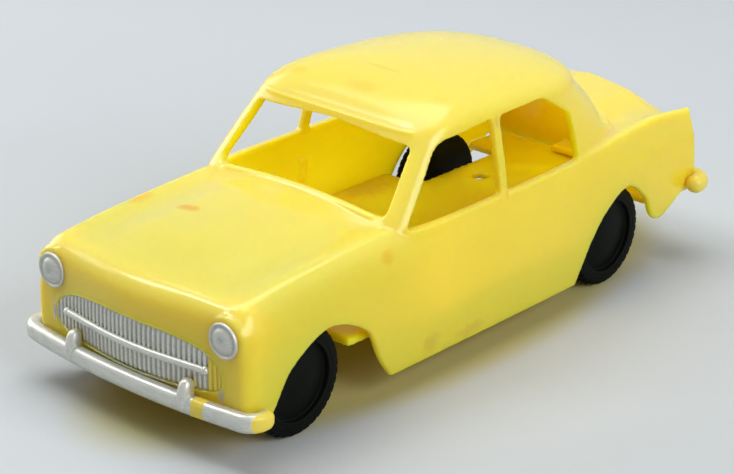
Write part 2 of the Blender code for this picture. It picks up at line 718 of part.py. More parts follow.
def mouth_outline(grow):
    """The grille's mouth seen from the front: a broad arch above, a flatter curve below."""
    outline = []
    for angle in np.linspace(0, 2 * math.pi, 32, endpoint=False):
        side = math.cos(angle)
        power = MOUTH_TOP_POWER if math.sin(angle) > 0 else MOUTH_FOOT_POWER
        reach = GRILLE_RISE + grow if math.sin(angle) > 0 else -GRILLE_DROP - grow
        x = (GRILLE_HALF + grow) * math.copysign(abs(side) ** (2 / power), side)
        outline.append((x, GRILLE_Z + reach * abs(math.sin(angle)) ** (2 / power)))
    return outline


def mouth_block(name, front_line, back, grow):
    """A block with the mouth's outline, from a line across its front to a depth behind the nose panel."""
    reach = GRILLE_HALF + 4 * GRILLE_PITCH
    rear_line = [(x, face_y(x) + back) for x in np.linspace(reach, -reach, 15)]
    made = prism(name, front_line + rear_line, SILL_Z, LAMP_Z, "Z")
    boolean(made, prism(f"{name}_mouth", mouth_outline(grow), 2 * NOSE_Y, COWL_Y, "Y"), "INTERSECT")
    bpy.context.view_layer.update()
    return applied(f"{name}_cut", made, cutters)


def grille_pieces():
    """The recess in the nose panel, then the teeth in it, the lip round it and the bar across it."""
    reach = GRILLE_HALF + 4 * GRILLE_PITCH
    tuck = -0.9 * GRILLE_LIP
    recess = mouth_block("recess", [(-reach, 2 * NOSE_Y), (reach, 2 * NOSE_Y)], GRILLE_RECESS, tuck)
    comb = []
    for k in range(-int(reach / GRILLE_PITCH), int(reach / GRILLE_PITCH)):
        for share, depth in ((0.0, GRILLE_RECESS), (0.15, 0.0), (0.5, 0.0), (0.65, GRILLE_RECESS)):
            x = (k + share) * GRILLE_PITCH
            comb.append((x, face_y(x) + 0.8 * depth - 0.1 * GRILLE_RECESS))
    teeth = mouth_block("teeth", comb, 2 * GRILLE_RECESS, tuck + JOIN / 4)
    rim = [(x, face_y(x), z) for x, z in mouth_outline(0.0)]
    lip = curve_solid("grille_lip", rim, GRILLE_LIP, 1, closed=True)
    across = np.linspace(-GRILLE_BAR_HALF, GRILLE_BAR_HALF, 13)
    bar = curve_solid("grille_bar", [(x, face_y(x), GRILLE_BAR_Z) for x in across], GRILLE_BAR_RADIUS, 1)
    return recess, [teeth, lip, bar]


def lamp_pod(side):
    """A headlamp: the round end of the wing, with its raised rim and swelling lens."""
    back = LAMP_POD * 2.2
    profile = [
        (0.0, 0.35 * GRILLE_RELIEF),
        (0.35 * LAMP_RADIUS, 0.2 * GRILLE_RELIEF),
        (0.72 * LAMP_RADIUS, -0.6 * GRILLE_RELIEF),
        (0.84 * LAMP_RADIUS, -0.9 * GRILLE_RELIEF),
        (0.90 * LAMP_RADIUS, 0.0),
        (LAMP_RADIUS, GRILLE_RELIEF / 2),
        (LAMP_RADIUS + GRILLE_LIP, 0.0),
        (LAMP_RADIUS + 1.2 * GRILLE_LIP, -GRILLE_RELIEF),
        (LAMP_POD, -LAMP_POD / 3),
        (LAMP_POD + GRILLE_RELIEF, -back / 2),
        (LAMP_POD / 2, -back),
        (0.0, -back),
    ]
    return turn_to(turned("lamp_pod", profile, LAMP_SIDES), "-Y", (side * LAMP_X, LAMP_Y, LAMP_Z))


def bumper_line(front, z, radius):
    """The bumper's centre line: bowed across the end, then wrapped round both corners."""
    end_y = (LENGTH / 2 - radius) * (-1 if front else 1)
    inward_step = 1 if front else -1
    half = BUMPER_HALF - radius
    corner = 2 * radius
    line = []
    for x in np.linspace(0, half - corner, 6):
        line.append((x, end_y + inward_step * BUMPER_SWEEP * (x / half) ** 2, z))
    start = line[-1]
    for angle in np.radians((30, 60, 90)):
        around = inward_step * corner * (1 - math.cos(angle))
        line.append((start[0] + corner * math.sin(angle), start[1] + around, z))
    line.append((half, end_y + inward_step * BUMPER_WRAP, z))
    return [(-x, y, h) for x, y, h in line[:0:-1]] + line


def bumpers():
    front = curve_solid("front_bumper", bumper_line(True, BUMPER_Z, BUMPER_RADIUS), BUMPER_RADIUS)
    rear_line = bumper_line(False, REAR_BUMPER_Z, REAR_BUMPER_RADIUS)
    rear = curve_solid("rear_bumper", rear_line, REAR_BUMPER_RADIUS)
    pieces = [front, rear]
    for side in (-1, 1):
        mesh = bpy.data.meshes.new("overrider")
        work = bmesh.new()
        bmesh.ops.create_uvsphere(work, u_segments=10, v_segments=6, radius=0.5)
        work.to_mesh(mesh)
        work.free()
        y = -LENGTH / 2 + BUMPER_SWEEP * (OVERRIDER_X / BUMPER_HALF) ** 2 + BUMPER_RADIUS
        size = (OVERRIDER_WIDTH, 2 * BUMPER_RADIUS + GRILLE_RELIEF, OVERRIDER_HEIGHT, 1)
        mesh.transform(Matrix.Translation((side * OVERRIDER_X, y, OVERRIDER_Z)) @ Matrix.Diagonal(size))
        pieces.append(add("overrider", mesh))
    return pieces


def inner_fixings():
    """Ledges over the base plate, nibs under it, and the ribs inside the door pillars."""
    base_low = BASE_TOP_Z - BASE_THICK
    inner = DOOR_HALF - WALL
    ledge_low = BASE_TOP_Z + FIT_GAP
    nose_in = NOSE_Y + END_WALL / 2
    tail_in = TAIL_Y - END_WALL / 2
    pieces = [
        block("front_ledge", (-LEDGE_HALF, nose_in, ledge_low),
              (LEDGE_HALF, nose_in + END_WALL + LEDGE_REACH, ledge_low + WALL)),
        block("rear_ledge", (-LEDGE_HALF, tail_in - END_WALL - LEDGE_REACH, ledge_low),
              (LEDGE_HALF, tail_in, ledge_low + WALL)),
    ]
    for side in (-1, 1):
        for y in (DOOR_Y - NIB_AHEAD, DOOR_Y + NIB_BEHIND):
            low, high = sorted((side * (inner - NIB_SIZE), side * (inner + WALL / 2)))
            pieces.append(block("nib", (low, y - NIB_SIZE, base_low - FIT_GAP - NIB_SIZE),
                                (high, y + NIB_SIZE, base_low - FIT_GAP)))
        low, high = sorted((side * (inner - PILLAR_RIB), side * (inner + WALL / 2)))
        pieces.append(block("pillar_rib", (low, PILLAR_FRONT_Y, BASE_TOP_Z + FIT_GAP),
                            (high, PILLAR_REAR_Y, BELT_Z - 2.5 * SHOULDER_DROP)))
    return pieces


def body_shell():
    body = body_block("lower_body", 0.0, 0.0, SILL_Z - WALL)
    boolean(body, cabin_block("cabin", 0.0, BELT_Z - SHOULDER_DROP), "UNION")
    boolean(body, header_bead(), "UNION")
    hollow = body_block("body_hollow", WALL, END_WALL, SILL_Z - 4 * WALL)
    boolean(body, hollow, "DIFFERENCE")
    boolean(body, cabin_block("cabin_hollow", WALL, BASE_TOP_Z), "DIFFERENCE")
    for cutter in window_cutters():
        boolean(body, cutter, "DIFFERENCE")
    for piece in inner_fixings():
        boolean(body, piece, "UNION")
    boolean(body, underside_cutter(), "DIFFERENCE")
    for side in (-1, 1):
        boolean(body, lamp_pod(side), "UNION")
    recess, grille = grille_pieces()
    boolean(body, recess, "DIFFERENCE")
    for piece in (*grille, *bumpers()):
        boolean(body, piece, "UNION")
    bpy.context.view_layer.update()
    return applied("body_shell", body, parts)


def base_plate():
    """The flat floor with its wheel wells, two snap-in lugs for each axle and a core hole beside each lug."""
    gap = FIT_GAP
    half = DOOR_HALF - WALL - PILLAR_RIB - gap
    front = NOSE_Y + NOSE_BOW + END_WALL + gap
    rear = TAIL_Y - TAIL_BOW - END_WALL - gap
    narrow = BASE_WELL_X
    front_well = FRONT_AXLE_Y + BASE_WELL_AHEAD
    rear_well = REAR_AXLE_Y - BASE_WELL_AHEAD
    well_end = REAR_AXLE_Y + BASE_WELL_BEHIND
    tail_half = half - TAIL_TAPER
    outline = [(narrow, front), (narrow, front_well), (half, front_well), (half, rear_well)]
    outline += [(narrow, rear_well), (narrow, well_end), (tail_half, well_end)]
    outline += [(x, rear + bow(x, rear)) for x in np.linspace(tail_half, 0, 6)]
    outline += [(-x, y) for x, y in outline[-2::-1]]
    low = BASE_TOP_Z - BASE_THICK
    plate = prism("plate", outline, low, BASE_TOP_Z, "Z")
    lug_low = WHEEL_RADIUS - LUG_REACH
    for axle_y in (FRONT_AXLE_Y, REAR_AXLE_Y):
        for side in (-1, 1):
            x = side * LUG_X
            boolean(plate, block("lug", (x - LUG_THICK / 2, axle_y - LUG_LENGTH / 2, lug_low),
                                 (x + LUG_THICK / 2, axle_y + LUG_LENGTH / 2, low + BASE_THICK / 2)), "UNION")
        reach = 2 * (LUG_X + LUG_THICK)
        bore_r = AXLE_RADIUS + AXLE_PLAY
        profile = [(0, reach / 2), (bore_r, reach / 2), (bore_r, -reach / 2), (0, -reach / 2)]
        bore = turned("bore", profile, AXLE_SIDES)
        boolean(plate, turn_to(bore, "+X", (0, axle_y, WHEEL_RADIUS)), "DIFFERENCE")
        mouth = 0.8 * AXLE_RADIUS
        boolean(plate, block("slot", (-reach / 2, axle_y - mouth, lug_low - WALL),
                             (reach / 2, axle_y + mouth, WHEEL_RADIUS)), "DIFFERENCE")
        for side in (-1, 1):
            x = side * (LUG_X - CORE_STEP)
            boolean(plate, block("core_hole", (x - CORE_HOLE / 2, axle_y - CORE_HOLE / 2, low - WALL),
                                 (x + CORE_HOLE / 2, axle_y + CORE_HOLE / 2, BASE_TOP_Z + WALL)), "DIFFERENCE")
    bpy.context.view_layer.update()
    return applied("base_plate", plate, parts)


def axle(name, y):
    end = WHEEL_FACE_X - HUB_WALL - DISH_DEPTH
    mesh_source = turned("rod", [(0, end), (AXLE_RADIUS, end), (AXLE_RADIUS, -end), (0, -end)], AXLE_SIDES)
    turn_to(mesh_source, "+X", (0, 0, 0))
    rod = applied(name, mesh_source, parts)
    rod.location = (0, y, WHEEL_RADIUS)
    return rod


def wheel(name, side, y):
    """A one-piece wheel: scalloped tread, dished face, hub boss and blind axle bore."""
    outline = []
    for k in range(TREAD_NOTCHES):
        for share, depth in ((0.15, 0.0), (0.6, 0.0), (0.87, 1.0)):
            angle = 2 * math.pi * (k + share) / TREAD_NOTCHES
            reach = WHEEL_RADIUS - depth * TREAD_DEPTH
            outline.append((reach * math.cos(angle), reach * math.sin(angle)))
    half = WHEEL_WIDTH / 2
    disc = prism("tread", outline, -half, half, "Z")
    dish = [(0.0, 2 * half), (RIM_RADIUS, 2 * half), (RIM_RADIUS, half - DISH_DEPTH * 0.9),
            (0.92 * RIM_RADIUS, half - DISH_DEPTH), (0.6 * RIM_RADIUS, half - 0.62 * DISH_DEPTH),
            (0.3 * RIM_RADIUS, half - 0.36 * DISH_DEPTH), (0.0, half - 0.28 * DISH_DEPTH)]
    boolean(disc, turned("dish", dish, ROUND_SIDES), "DIFFERENCE")
    boss_end = WHEEL_FACE_X - half - LUG_X - LUG_THICK / 2 - FIT_GAP
    boss = [(0.0, 0.0), (HUB_RADIUS, 0.0), (HUB_RADIUS, -boss_end), (0.0, -boss_end)]
    boolean(disc, turned("boss", boss, AXLE_SIDES), "UNION")
    bore_top = half - HUB_WALL - DISH_DEPTH + FIT_GAP
    bore_r = AXLE_RADIUS + PRESS_GAP
    bore = [(0.0, bore_top), (bore_r, bore_top), (bore_r, -2 * boss_end), (0.0, -2 * boss_end)]
    boolean(disc, turned("wheel_bore", bore, AXLE_SIDES), "DIFFERENCE")
    bpy.context.view_layer.update()
    made = applied(name, disc, parts)
    turn_to(made, "+X" if side > 0 else "-X", (0, 0, 0))
    made.location = (side * (WHEEL_FACE_X - half), y, WHEEL_RADIUS)
    return made


def dress(obj, finish):
    obj.data.materials.clear()
    obj.data.materials.append(finish)
    obj.data.shade_smooth()
    obj.data.set_sharp_from_angle(angle=math.radians(32))


def main():
    clear_scene()
    yellow = material("yellow_plastic", (0.93, 0.74, 0.12), 0.28)
    floor_yellow = material("base_plastic", (0.90, 0.68, 0.08), 0.35)
    black = material("black_plastic", (0.012, 0.012, 0.013), 0.38)
    steel = material("axle_steel", (0.55, 0.55, 0.56), 0.35, 1.0)
    dress(body_shell(), yellow)
    dress(base_plate(), floor_yellow)
    for end, y in (("front", FRONT_AXLE_Y), ("rear", REAR_AXLE_Y)):
        dress(axle(f"{end}_axle", y), steel)
        for side, hand in ((1, "left"), (-1, "right")):
            dress(wheel(f"{end}_{hand}_wheel", side, y), black)


main()
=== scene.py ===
# %% [markdown]
# # A plastic model car, dressed for its photograph
#
# The object is a pocket-size saloon moulded in pale yellow plastic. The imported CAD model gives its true
# size, its pieces and the way its axles turn. This lesson builds a finer skin over that model, gives every
# piece its finish, and sets up the pale table, the light and the camera of the photograph.

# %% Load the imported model
import json
import math

import bmesh
import bpy
import numpy as np
from mathutils import Matrix, Vector

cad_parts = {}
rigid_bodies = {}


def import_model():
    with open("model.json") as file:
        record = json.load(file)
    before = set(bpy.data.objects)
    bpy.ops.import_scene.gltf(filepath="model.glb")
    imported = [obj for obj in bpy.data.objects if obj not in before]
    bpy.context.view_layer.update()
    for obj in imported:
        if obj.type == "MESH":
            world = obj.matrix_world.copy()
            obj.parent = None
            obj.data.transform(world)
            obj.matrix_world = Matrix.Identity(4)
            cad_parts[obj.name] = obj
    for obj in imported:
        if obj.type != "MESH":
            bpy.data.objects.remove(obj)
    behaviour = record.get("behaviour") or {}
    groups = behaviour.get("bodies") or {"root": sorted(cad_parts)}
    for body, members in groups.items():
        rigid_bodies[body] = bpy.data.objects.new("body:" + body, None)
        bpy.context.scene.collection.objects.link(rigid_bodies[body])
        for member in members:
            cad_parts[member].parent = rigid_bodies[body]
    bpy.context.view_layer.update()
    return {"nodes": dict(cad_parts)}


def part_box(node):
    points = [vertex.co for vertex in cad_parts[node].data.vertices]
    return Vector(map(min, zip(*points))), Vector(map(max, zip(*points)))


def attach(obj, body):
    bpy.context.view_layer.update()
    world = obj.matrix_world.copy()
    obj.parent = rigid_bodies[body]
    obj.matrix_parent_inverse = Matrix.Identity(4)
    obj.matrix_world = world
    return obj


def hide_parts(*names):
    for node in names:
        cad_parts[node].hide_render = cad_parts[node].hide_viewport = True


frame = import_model()
scene = bpy.context.scene
print("pieces:", sorted(frame["nodes"]))

# %% [markdown]
# ## The lines of the body
#
# A stylist draws a car as a few long lines: the sill, the flank, the crown of the wing, the valley beside
# the bonnet and the centre line. Each is a height or a half-width that changes along the car. The CAD part is
# drawn through the same lines in few steps, as suits an exact solid. Here they are followed in many small
# steps, because a glossy surface shows every facet.

# %% Lines of the lower body, in metres
LENGTH, DOOR_HALF, BELT_Z = 0.105, 0.01995, 0.0226
WALL, END_WALL = 0.0011, 0.0020
NOSE_Y, TAIL_Y = 0.0015 - LENGTH / 2, LENGTH / 2 - 0.0021
FRONT_AXLE_Y, REAR_AXLE_Y = NOSE_Y + 0.0132, TAIL_Y - 0.0215
COWL_Y, DOOR_Y, BOOT_Y = -0.0190, 0.0015, 0.0375
DOORS_FRONT_Y, DOORS_REAR_Y = DOOR_Y - 0.010, DOOR_Y + 0.016
SILL_Z, FLANK_Z = 0.0033, 0.0135
NOSE_HALF, TAIL_HALF = DOOR_HALF - 0.00005, DOOR_HALF - 0.00075
WING_CROWN_X, DOOR_CROWN_X = DOOR_HALF - 0.00345, DOOR_HALF - 0.00135
FIN_CROWN_X = TAIL_HALF - 0.0014
VALLEY_X = WING_CROWN_X - 0.0030
SILL_TUCK, SHOULDER_DROP = 0.0005, 0.0019
WING_SHOULDER, DOOR_SHOULDER = 0.0014, 0.0007
NOSE_BOW, TAIL_BOW = 0.0015, 0.0014


def smooth(knots, values, at):
    """Monotone cubic interpolation: a line through points that never swings past them."""
    knots = np.asarray(knots, float)
    values = np.asarray(values, float)
    steps = np.diff(knots)
    slopes = np.diff(values) / steps
    tangents = np.concatenate([slopes[:1], np.zeros(len(slopes) - 1), slopes[-1:]])
    for k in range(1, len(slopes)):
        if slopes[k - 1] * slopes[k] > 0:
            tangents[k] = 2 * slopes[k - 1] * slopes[k] / (slopes[k - 1] + slopes[k])
    at = np.clip(at, knots[0], knots[-1])
    k = np.clip(np.searchsorted(knots, at) - 1, 0, len(steps) - 1)
    t = (at - knots[k]) / steps[k]
    start = values[k] * (1 + 2 * t) * (1 - t) ** 2 + values[k + 1] * t * t * (3 - 2 * t)
    return start + steps[k] * (tangents[k] * t * (1 - t) ** 2 - tangents[k + 1] * t * t * (1 - t))


def half_width(y):
    front, rear = (NOSE_HALF + 2 * DOOR_HALF) / 3, DOOR_HALF - SILL_TUCK / 3
    return smooth([NOSE_Y, FRONT_AXLE_Y, DOOR_Y, REAR_AXLE_Y, TAIL_Y],
                  [NOSE_HALF, front, DOOR_HALF, rear, TAIL_HALF], y)


def crown_x(y):
    return smooth([NOSE_Y, COWL_Y, DOORS_FRONT_Y, DOORS_REAR_Y, BOOT_Y, TAIL_Y],
                  [WING_CROWN_X, WING_CROWN_X, DOOR_CROWN_X, DOOR_CROWN_X, FIN_CROWN_X, FIN_CROWN_X], y)


def shoulder_in(y):
    return smooth([COWL_Y, DOORS_FRONT_Y, DOORS_REAR_Y, BOOT_Y],
                  [WING_SHOULDER, DOOR_SHOULDER, DOOR_SHOULDER, WING_SHOULDER], y)


def crown_z(y):
    nose, cowl, door, fin = BELT_Z - 0.0017, BELT_Z + 0.0007, BELT_Z + 0.0003, BELT_Z + 0.0012
    return smooth([NOSE_Y, FRONT_AXLE_Y, COWL_Y, DOORS_FRONT_Y, DOORS_REAR_Y, BOOT_Y, TAIL_Y],
                  [nose, nose + 0.64 * (cowl - nose), cowl, door, door, fin, BELT_Z], y)


def valley_drop(y):
    bonnet, boot, tail = 0.0004, 0.0012, 0.0024
    return smooth([NOSE_Y, FRONT_AXLE_Y, COWL_Y, BOOT_Y, TAIL_Y], [0.0, bonnet, bonnet, boot, tail], y)


def centre_z(y):
    nose, cowl, boot, tail = BELT_Z - 0.0018, BELT_Z + 0.0017, BELT_Z + 0.0024, BELT_Z - 0.0007
    flat_end = BOOT_Y + 0.70 * (TAIL_Y - BOOT_Y)
    return smooth([NOSE_Y, NOSE_Y + 0.006, FRONT_AXLE_Y, COWL_Y, BOOT_Y, flat_end, TAIL_Y],
                  [nose, nose + 0.40 * (cowl - nose), nose + 0.82 * (cowl - nose), cowl, boot, boot - 0.0002,
                   tail], y)


for place, y in (("nose", NOSE_Y), ("cowl", COWL_Y), ("doors", DOOR_Y), ("tail", TAIL_Y)):
    print(f"{place}: half-width {1000 * half_width(y):.2f} mm, wing crown {1000 * crown_z(y):.2f} mm")

# %% [markdown]
# ## Sections and rings
#
# A section is half of the body's outline at one place along the car. It is drawn through nine points, and a
# ring is that section with its mirror image. Over the front wings its bends are eased, as the moulding is
# round there. The nose and the tail swell outwards in plan, so a whole ring bends along the car. Skinning one
# ring after another gives a closed block, which Booleans then hollow and cut, much as the two halves of a
# moulding tool shape the plastic.

# %% Sections, rings and closed blocks
NOSE_ROUND, NOSE_CORNER, TAIL_ROUND, CAP_Z = 0.0026, 0.0015, 0.0006, 0.0141
LEAST_CROWN = 0.0006
EASE_START_Y, EASE_END_Y = COWL_Y - 0.006, DOOR_Y - 0.012
WING_EASE, DOOR_EASE = 0.0009, 0.00008


def way_along(line):
    """How far along a line each of its points lies."""
    return np.concatenate([[0], np.cumsum(np.linalg.norm(np.diff(line, axis=0), axis=1))])


def through(points, per_span):
    """A smooth line through a few points, with per_span pieces between neighbours."""
    points = np.asarray(points, float)
    reach = way_along(points)
    spans = [np.linspace(a, b, per_span, endpoint=False) for a, b in zip(reach, reach[1:])]
    at = np.concatenate(spans + [reach[-1:]])
    return np.stack([smooth(reach, points[:, k], at) for k in range(points.shape[1])], axis=1)


def evenly(line, count):
    """The same line with its points spaced evenly by length."""
    line = np.asarray(line, float)
    reach = way_along(line)
    at = np.linspace(0, reach[-1], count)
    return np.stack([np.interp(at, reach, line[:, k]) for k in range(line.shape[1])], axis=1)


def eased(line, spread):
    """The same section with its bends drawn out over a longer way."""
    samples, window = 600, 60
    reach = way_along(line)
    fine = np.linspace(0, reach[-1], samples)
    even = evenly(line, samples)
    weights = np.exp(-0.5 * (np.arange(-window, window + 1) * fine[1] / spread) ** 2)
    before, after = 2 * even[0] - even[window:0:-1], even[-2:-window - 2:-1] * (-1, 1)
    padded = np.concatenate([before, even, after])
    soft = [np.convolve(padded[:, k], weights / weights.sum(), "valid") for k in (0, 1)]
    return np.stack([np.interp(reach, fine, values) for values in soft], axis=1)


def bow(x, y):
    """How far the nose and the tail swell along the car at this place."""
    nose_share = np.clip(1 - (x / WING_CROWN_X) ** 2, 0, 1) ** 2
    tail_share = np.clip(1 - (x / DOOR_HALF) ** 2, 0, 1)
    nose = np.clip((COWL_Y - y) / (COWL_Y - NOSE_Y - NOSE_BOW), 0, 1) ** 2
    tail = np.clip((y - BOOT_Y) / (TAIL_Y - TAIL_BOW - BOOT_Y), 0, 1) ** 2
    return tail_share * tail * TAIL_BOW - nose_share * nose * NOSE_BOW


def body_section(y, per_span):
    """Half of the lower body's outline, from the sill over the wing to the centre line."""
    wide, shoulder = half_width(y), shoulder_in(y)
    top_x = min(crown_x(y), wide - shoulder - LEAST_CROWN)
    top_z = crown_z(y + bow(top_x, y))
    dip_z = top_z - valley_drop(y)
    mid_z = centre_z(y + bow(0, y))
    line = through([
        (wide - SILL_TUCK, SILL_Z),
        (wide - 0.2 * SILL_TUCK, (SILL_Z + FLANK_Z) / 2),
        (wide, FLANK_Z),
        (wide - 0.25 * shoulder, top_z - 2.5 * SHOULDER_DROP),
        (wide - shoulder, top_z - 0.8 * SHOULDER_DROP),
        (top_x, top_z),
        (VALLEY_X, dip_z),
        (0.55 * VALLEY_X, dip_z + 0.7 * (mid_z - dip_z)),
        (0.0, mid_z),
    ], per_span)
    return eased(line, smooth([EASE_START_Y, EASE_END_Y], [WING_EASE, DOOR_EASE], y))


def inward(line, distance):
    """A section moved square to itself, towards the inside of the body."""
    along = np.gradient(line, axis=0)
    along /= np.linalg.norm(along, axis=1)[:, None]
    moved = line + distance * np.stack([-along[:, 1], along[:, 0]], axis=1)
    moved[-1, 0] = 0.0
    return moved


def shrunk(line, inset, drop):
    """A section drawn in from its sides and down from its top, for the round where an end face begins."""
    wide, foot = line[:, 0].max(), line[0, 1]
    tall = line[:, 1].max() - foot
    return np.stack([line[:, 0] * (1 - inset / wide), foot + (line[:, 1] - foot) * (1 - drop / tall)], axis=1)


def closed_mesh(name, points, faces):
    """A mesh object with its faces turned outwards."""
    mesh = bpy.data.meshes.new(name)
    mesh.from_pydata([tuple(map(float, p)) for p in points], [], faces)
    work = bmesh.new()
    work.from_mesh(mesh)
    bmesh.ops.remove_doubles(work, verts=work.verts, dist=1e-7)
    bmesh.ops.recalc_face_normals(work, faces=work.faces)
    if work.calc_volume(signed=True) < 0:
        bmesh.ops.reverse_faces(work, faces=work.faces)
    work.to_mesh(mesh)
    work.free()
    made = bpy.data.objects.new(name, mesh)
    scene.collection.objects.link(made)
    return made


def skinned(name, rings, loop=False):
    """A closed solid over rings of equally many points. Its ends get flat faces, or meet in a loop."""
    size, count = len(rings[0]), len(rings)
    points = [p for ring in rings for p in ring]
    faces = [] if loop else [tuple(range(size)), tuple(range(len(points) - size, len(points)))]
    for k in range(count if loop else count - 1):
        here, there = k * size, (k + 1) % count * size
        for i in range(size):
            n = (i + 1) % size
            faces.append((here + i, here + n, there + n, there + i))
    return closed_mesh(name, points, faces)


def body_block(name, wall, end_wall, foot, per_span, between):
    """The lower body as one closed block: its outside, or with walls given, the hollow in it."""
    nose = NOSE_Y + NOSE_BOW + end_wall
    tail = TAIL_Y - TAIL_BOW - end_wall
    stations = []
    for angle in np.radians(np.linspace(90, 8, 12)):
        draw = 1 - math.cos(angle)
        stations.append((nose + NOSE_ROUND * (1 - math.sin(angle)), NOSE_CORNER * draw, NOSE_ROUND * draw))
    stations += [(y, 0.0, 0.0) for y in np.linspace(nose + NOSE_ROUND, tail - TAIL_ROUND, between)]
    for angle in np.radians(np.linspace(15, 90, 6)):
        draw = TAIL_ROUND * (1 - math.cos(angle))
        stations.append((tail - TAIL_ROUND * (1 - math.sin(angle)), draw, draw))
    rings = []
    for y, inset, drop in stations:
        line = shrunk(inward(body_section(y, per_span), wall), inset, drop)
        line[0, 1] = foot
        ring = [(x, y + bow(x, y), z) for x, z in line]
        rings.append(ring + [(-x, y + bow(x, y), z) for x, z in line[-2::-1]])
    caps = []
    for end in (0, -1):
        y = stations[end][0]
        caps.append([[(s * x, y + bow(s * x, y), CAP_Z + s * (z - CAP_Z)) for x, _, z in rings[end]]
                     for s in np.linspace(0.94, 0.06, 12)])
    return skinned(name, caps[0][::-1] + rings + caps[1])


body = body_block("lower_body", 0.0, 0.0, SILL_Z - WALL, 10, 110)
print("lower body:", len(body.data.polygons), "faces")

# %% [markdown]
# ## The cabin
#
# From above, the cabin is a rounded box: nearly square at the windscreen and rounder at the rear light. A
# superellipse gives that with one number for its squareness. Its rings lean in up to the header, then close
# over the roof like a dome, which also tilts a little towards the tail. The points of each ring are spaced
# evenly by length, so that the corners get as many faces as the long sides.

# %% Cabin block
ROOF_Z = 0.0378
HEADER_Z = ROOF_Z - 0.0052
CABIN_HALF = DOOR_HALF - 0.00065
RAIL_HALF = CABIN_HALF - 0.0026
SCREEN_FOOT_Y, SCREEN_TOP_Y = -0.0209, -0.0121
REAR_FOOT_Y, REAR_TOP_Y = 0.0387, 0.0295
CROWN_Y = 0.0045
ROOF_TILT = math.tan(math.radians(2.5))
BELT_LEVELS = 24
SCREEN_SQUARE, RAIL_SQUARE, REAR_SQUARE, CROWN_SQUARE, HOLLOW_SQUARE = 9.0, 7.0, 3.0, 2.5, 5.0
WALL_LEAN = 1.15


def cabin_ring(front, rear, half, front_power, rear_power):
    """Half of one level ring, from the middle of the screen round the left side to the rear light."""
    u = np.linspace(0, 1, 300)
    turn = math.pi / 2 * u ** 4 / (u ** 4 + (1 - u) ** 4)
    side, ahead = np.sin(turn), np.cos(turn).clip(0)
    to_front = np.stack([half * side ** (2 / front_power),
                         CROWN_Y + (front - CROWN_Y) * ahead ** (2 / front_power)], axis=1)
    to_rear = np.stack([half * ahead ** (2 / rear_power),
                        CROWN_Y + (rear - CROWN_Y) * side ** (2 / rear_power)], axis=1)
    return np.concatenate([evenly(to_front, 160), evenly(to_rear, 80)[1:]])


def cabin_levels():
    """Levels from belt to crown: height, front, rear, half-width and the squareness of both ends."""
    levels = []
    for t in np.linspace(0, 1, BELT_LEVELS):
        bulge = (4 * t + t * t) / 5
        levels.append((BELT_Z + t * (HEADER_Z - BELT_Z), SCREEN_FOOT_Y + t * (SCREEN_TOP_Y - SCREEN_FOOT_Y),
                       REAR_FOOT_Y + bulge * (REAR_TOP_Y - REAR_FOOT_Y),
                       CABIN_HALF + bulge * (RAIL_HALF - CABIN_HALF),
                       SCREEN_SQUARE - t * (SCREEN_SQUARE - RAIL_SQUARE), REAR_SQUARE))
    dome = ROOF_Z - HEADER_Z
    lean = (SCREEN_TOP_Y - SCREEN_FOOT_Y) / (HEADER_Z - BELT_Z)
    for rise in np.sin(np.linspace(0.06, math.pi / 2 - 0.03, 26)):
        share = math.sqrt(1 - rise ** 2.3)
        front = SCREEN_TOP_Y + lean * rise * dome * math.sqrt(1 - rise)
        levels.append((HEADER_Z + rise * dome, CROWN_Y + share * (front - CROWN_Y),
                       CROWN_Y + share * (REAR_TOP_Y - CROWN_Y), share * RAIL_HALF,
                       RAIL_SQUARE - rise * (RAIL_SQUARE - CROWN_SQUARE),
                       REAR_SQUARE - rise * (REAR_SQUARE - CROWN_SQUARE)))
    return levels


def cabin_block(name, wall, foot):
    """The cabin as one closed block. With a wall given it is the hollow, whose front corners are rounder."""
    levels = cabin_levels()
    levels[0] = (foot, *levels[0][1:])
    rings = []
    for height, front, rear, half, front_power, rear_power in levels:
        up = np.clip((height - BELT_Z) / (HEADER_Z - BELT_Z), 0, 1)
        if wall:
            front_power -= up * max(front_power - HOLLOW_SQUARE, 0.0)
        inset = WALL_LEAN * wall
        lowered = height - wall * np.clip((height - BELT_Z) / (ROOF_Z - BELT_Z), 0, 1) ** 3
        tilt = ROOF_TILT * up
        narrow = max(half - inset, 0.0003) / half
        squeeze = max(1 - 2 * inset / (rear - front), 0.3)
        middle = (front + rear) / 2
        ring = [(x * narrow, middle + (y - middle) * squeeze, lowered - tilt * (y - CROWN_Y))
                for x, y in cabin_ring(front, rear, half, front_power, rear_power)]
        rings.append(ring + [(-x, y, z) for x, y, z in ring[-2:0:-1]])
    return skinned(name, rings)


cabin = cabin_block("cabin", 0.0, BELT_Z - SHOULDER_DROP)
print("cabin:", len(cabin.data.polygons), "faces")

# %% [markdown]
# ## Hollow, windows and wheel arches
#
# The plastic is a little over a millimetre thick. One Boolean takes the hollow out of the lower body and one
# out of the cabin. The side windows are cut straight through both sides at once, the screen and the rear
# light along the car, and one long outline under the car cuts the nose, the arches and the sills. Each cutter
# is used once and then removed.

# %% Cutting the shell
BASE_TOP_Z, WHEEL_RADIUS = 0.0107, 0.0077
NOSE_LOW_Z, TAIL_LOW_Z = 0.0062, 0.0102
SCREEN_FOOT_Z, SCREEN_BOW = BELT_Z + 0.0013, 0.0007
SCREEN_FOOT_HALF, SCREEN_TOP_HALF = CABIN_HALF - 0.0038, RAIL_HALF - 0.0027
PILLAR_FRONT_Y, PILLAR_REAR_Y, PILLAR_LEAN = 0.0009, 0.0024, 0.0008
WINDOWS_FRONT_Y, WINDOWS_REAR_Y = -0.01805, 0.0194
# Radii of the windows' corners
TIGHT, SMALL, MEDIUM, ROUND, LARGE, BOWED = 0.00045, 0.0009, 0.00135, 0.0027, 0.0045, 0.009


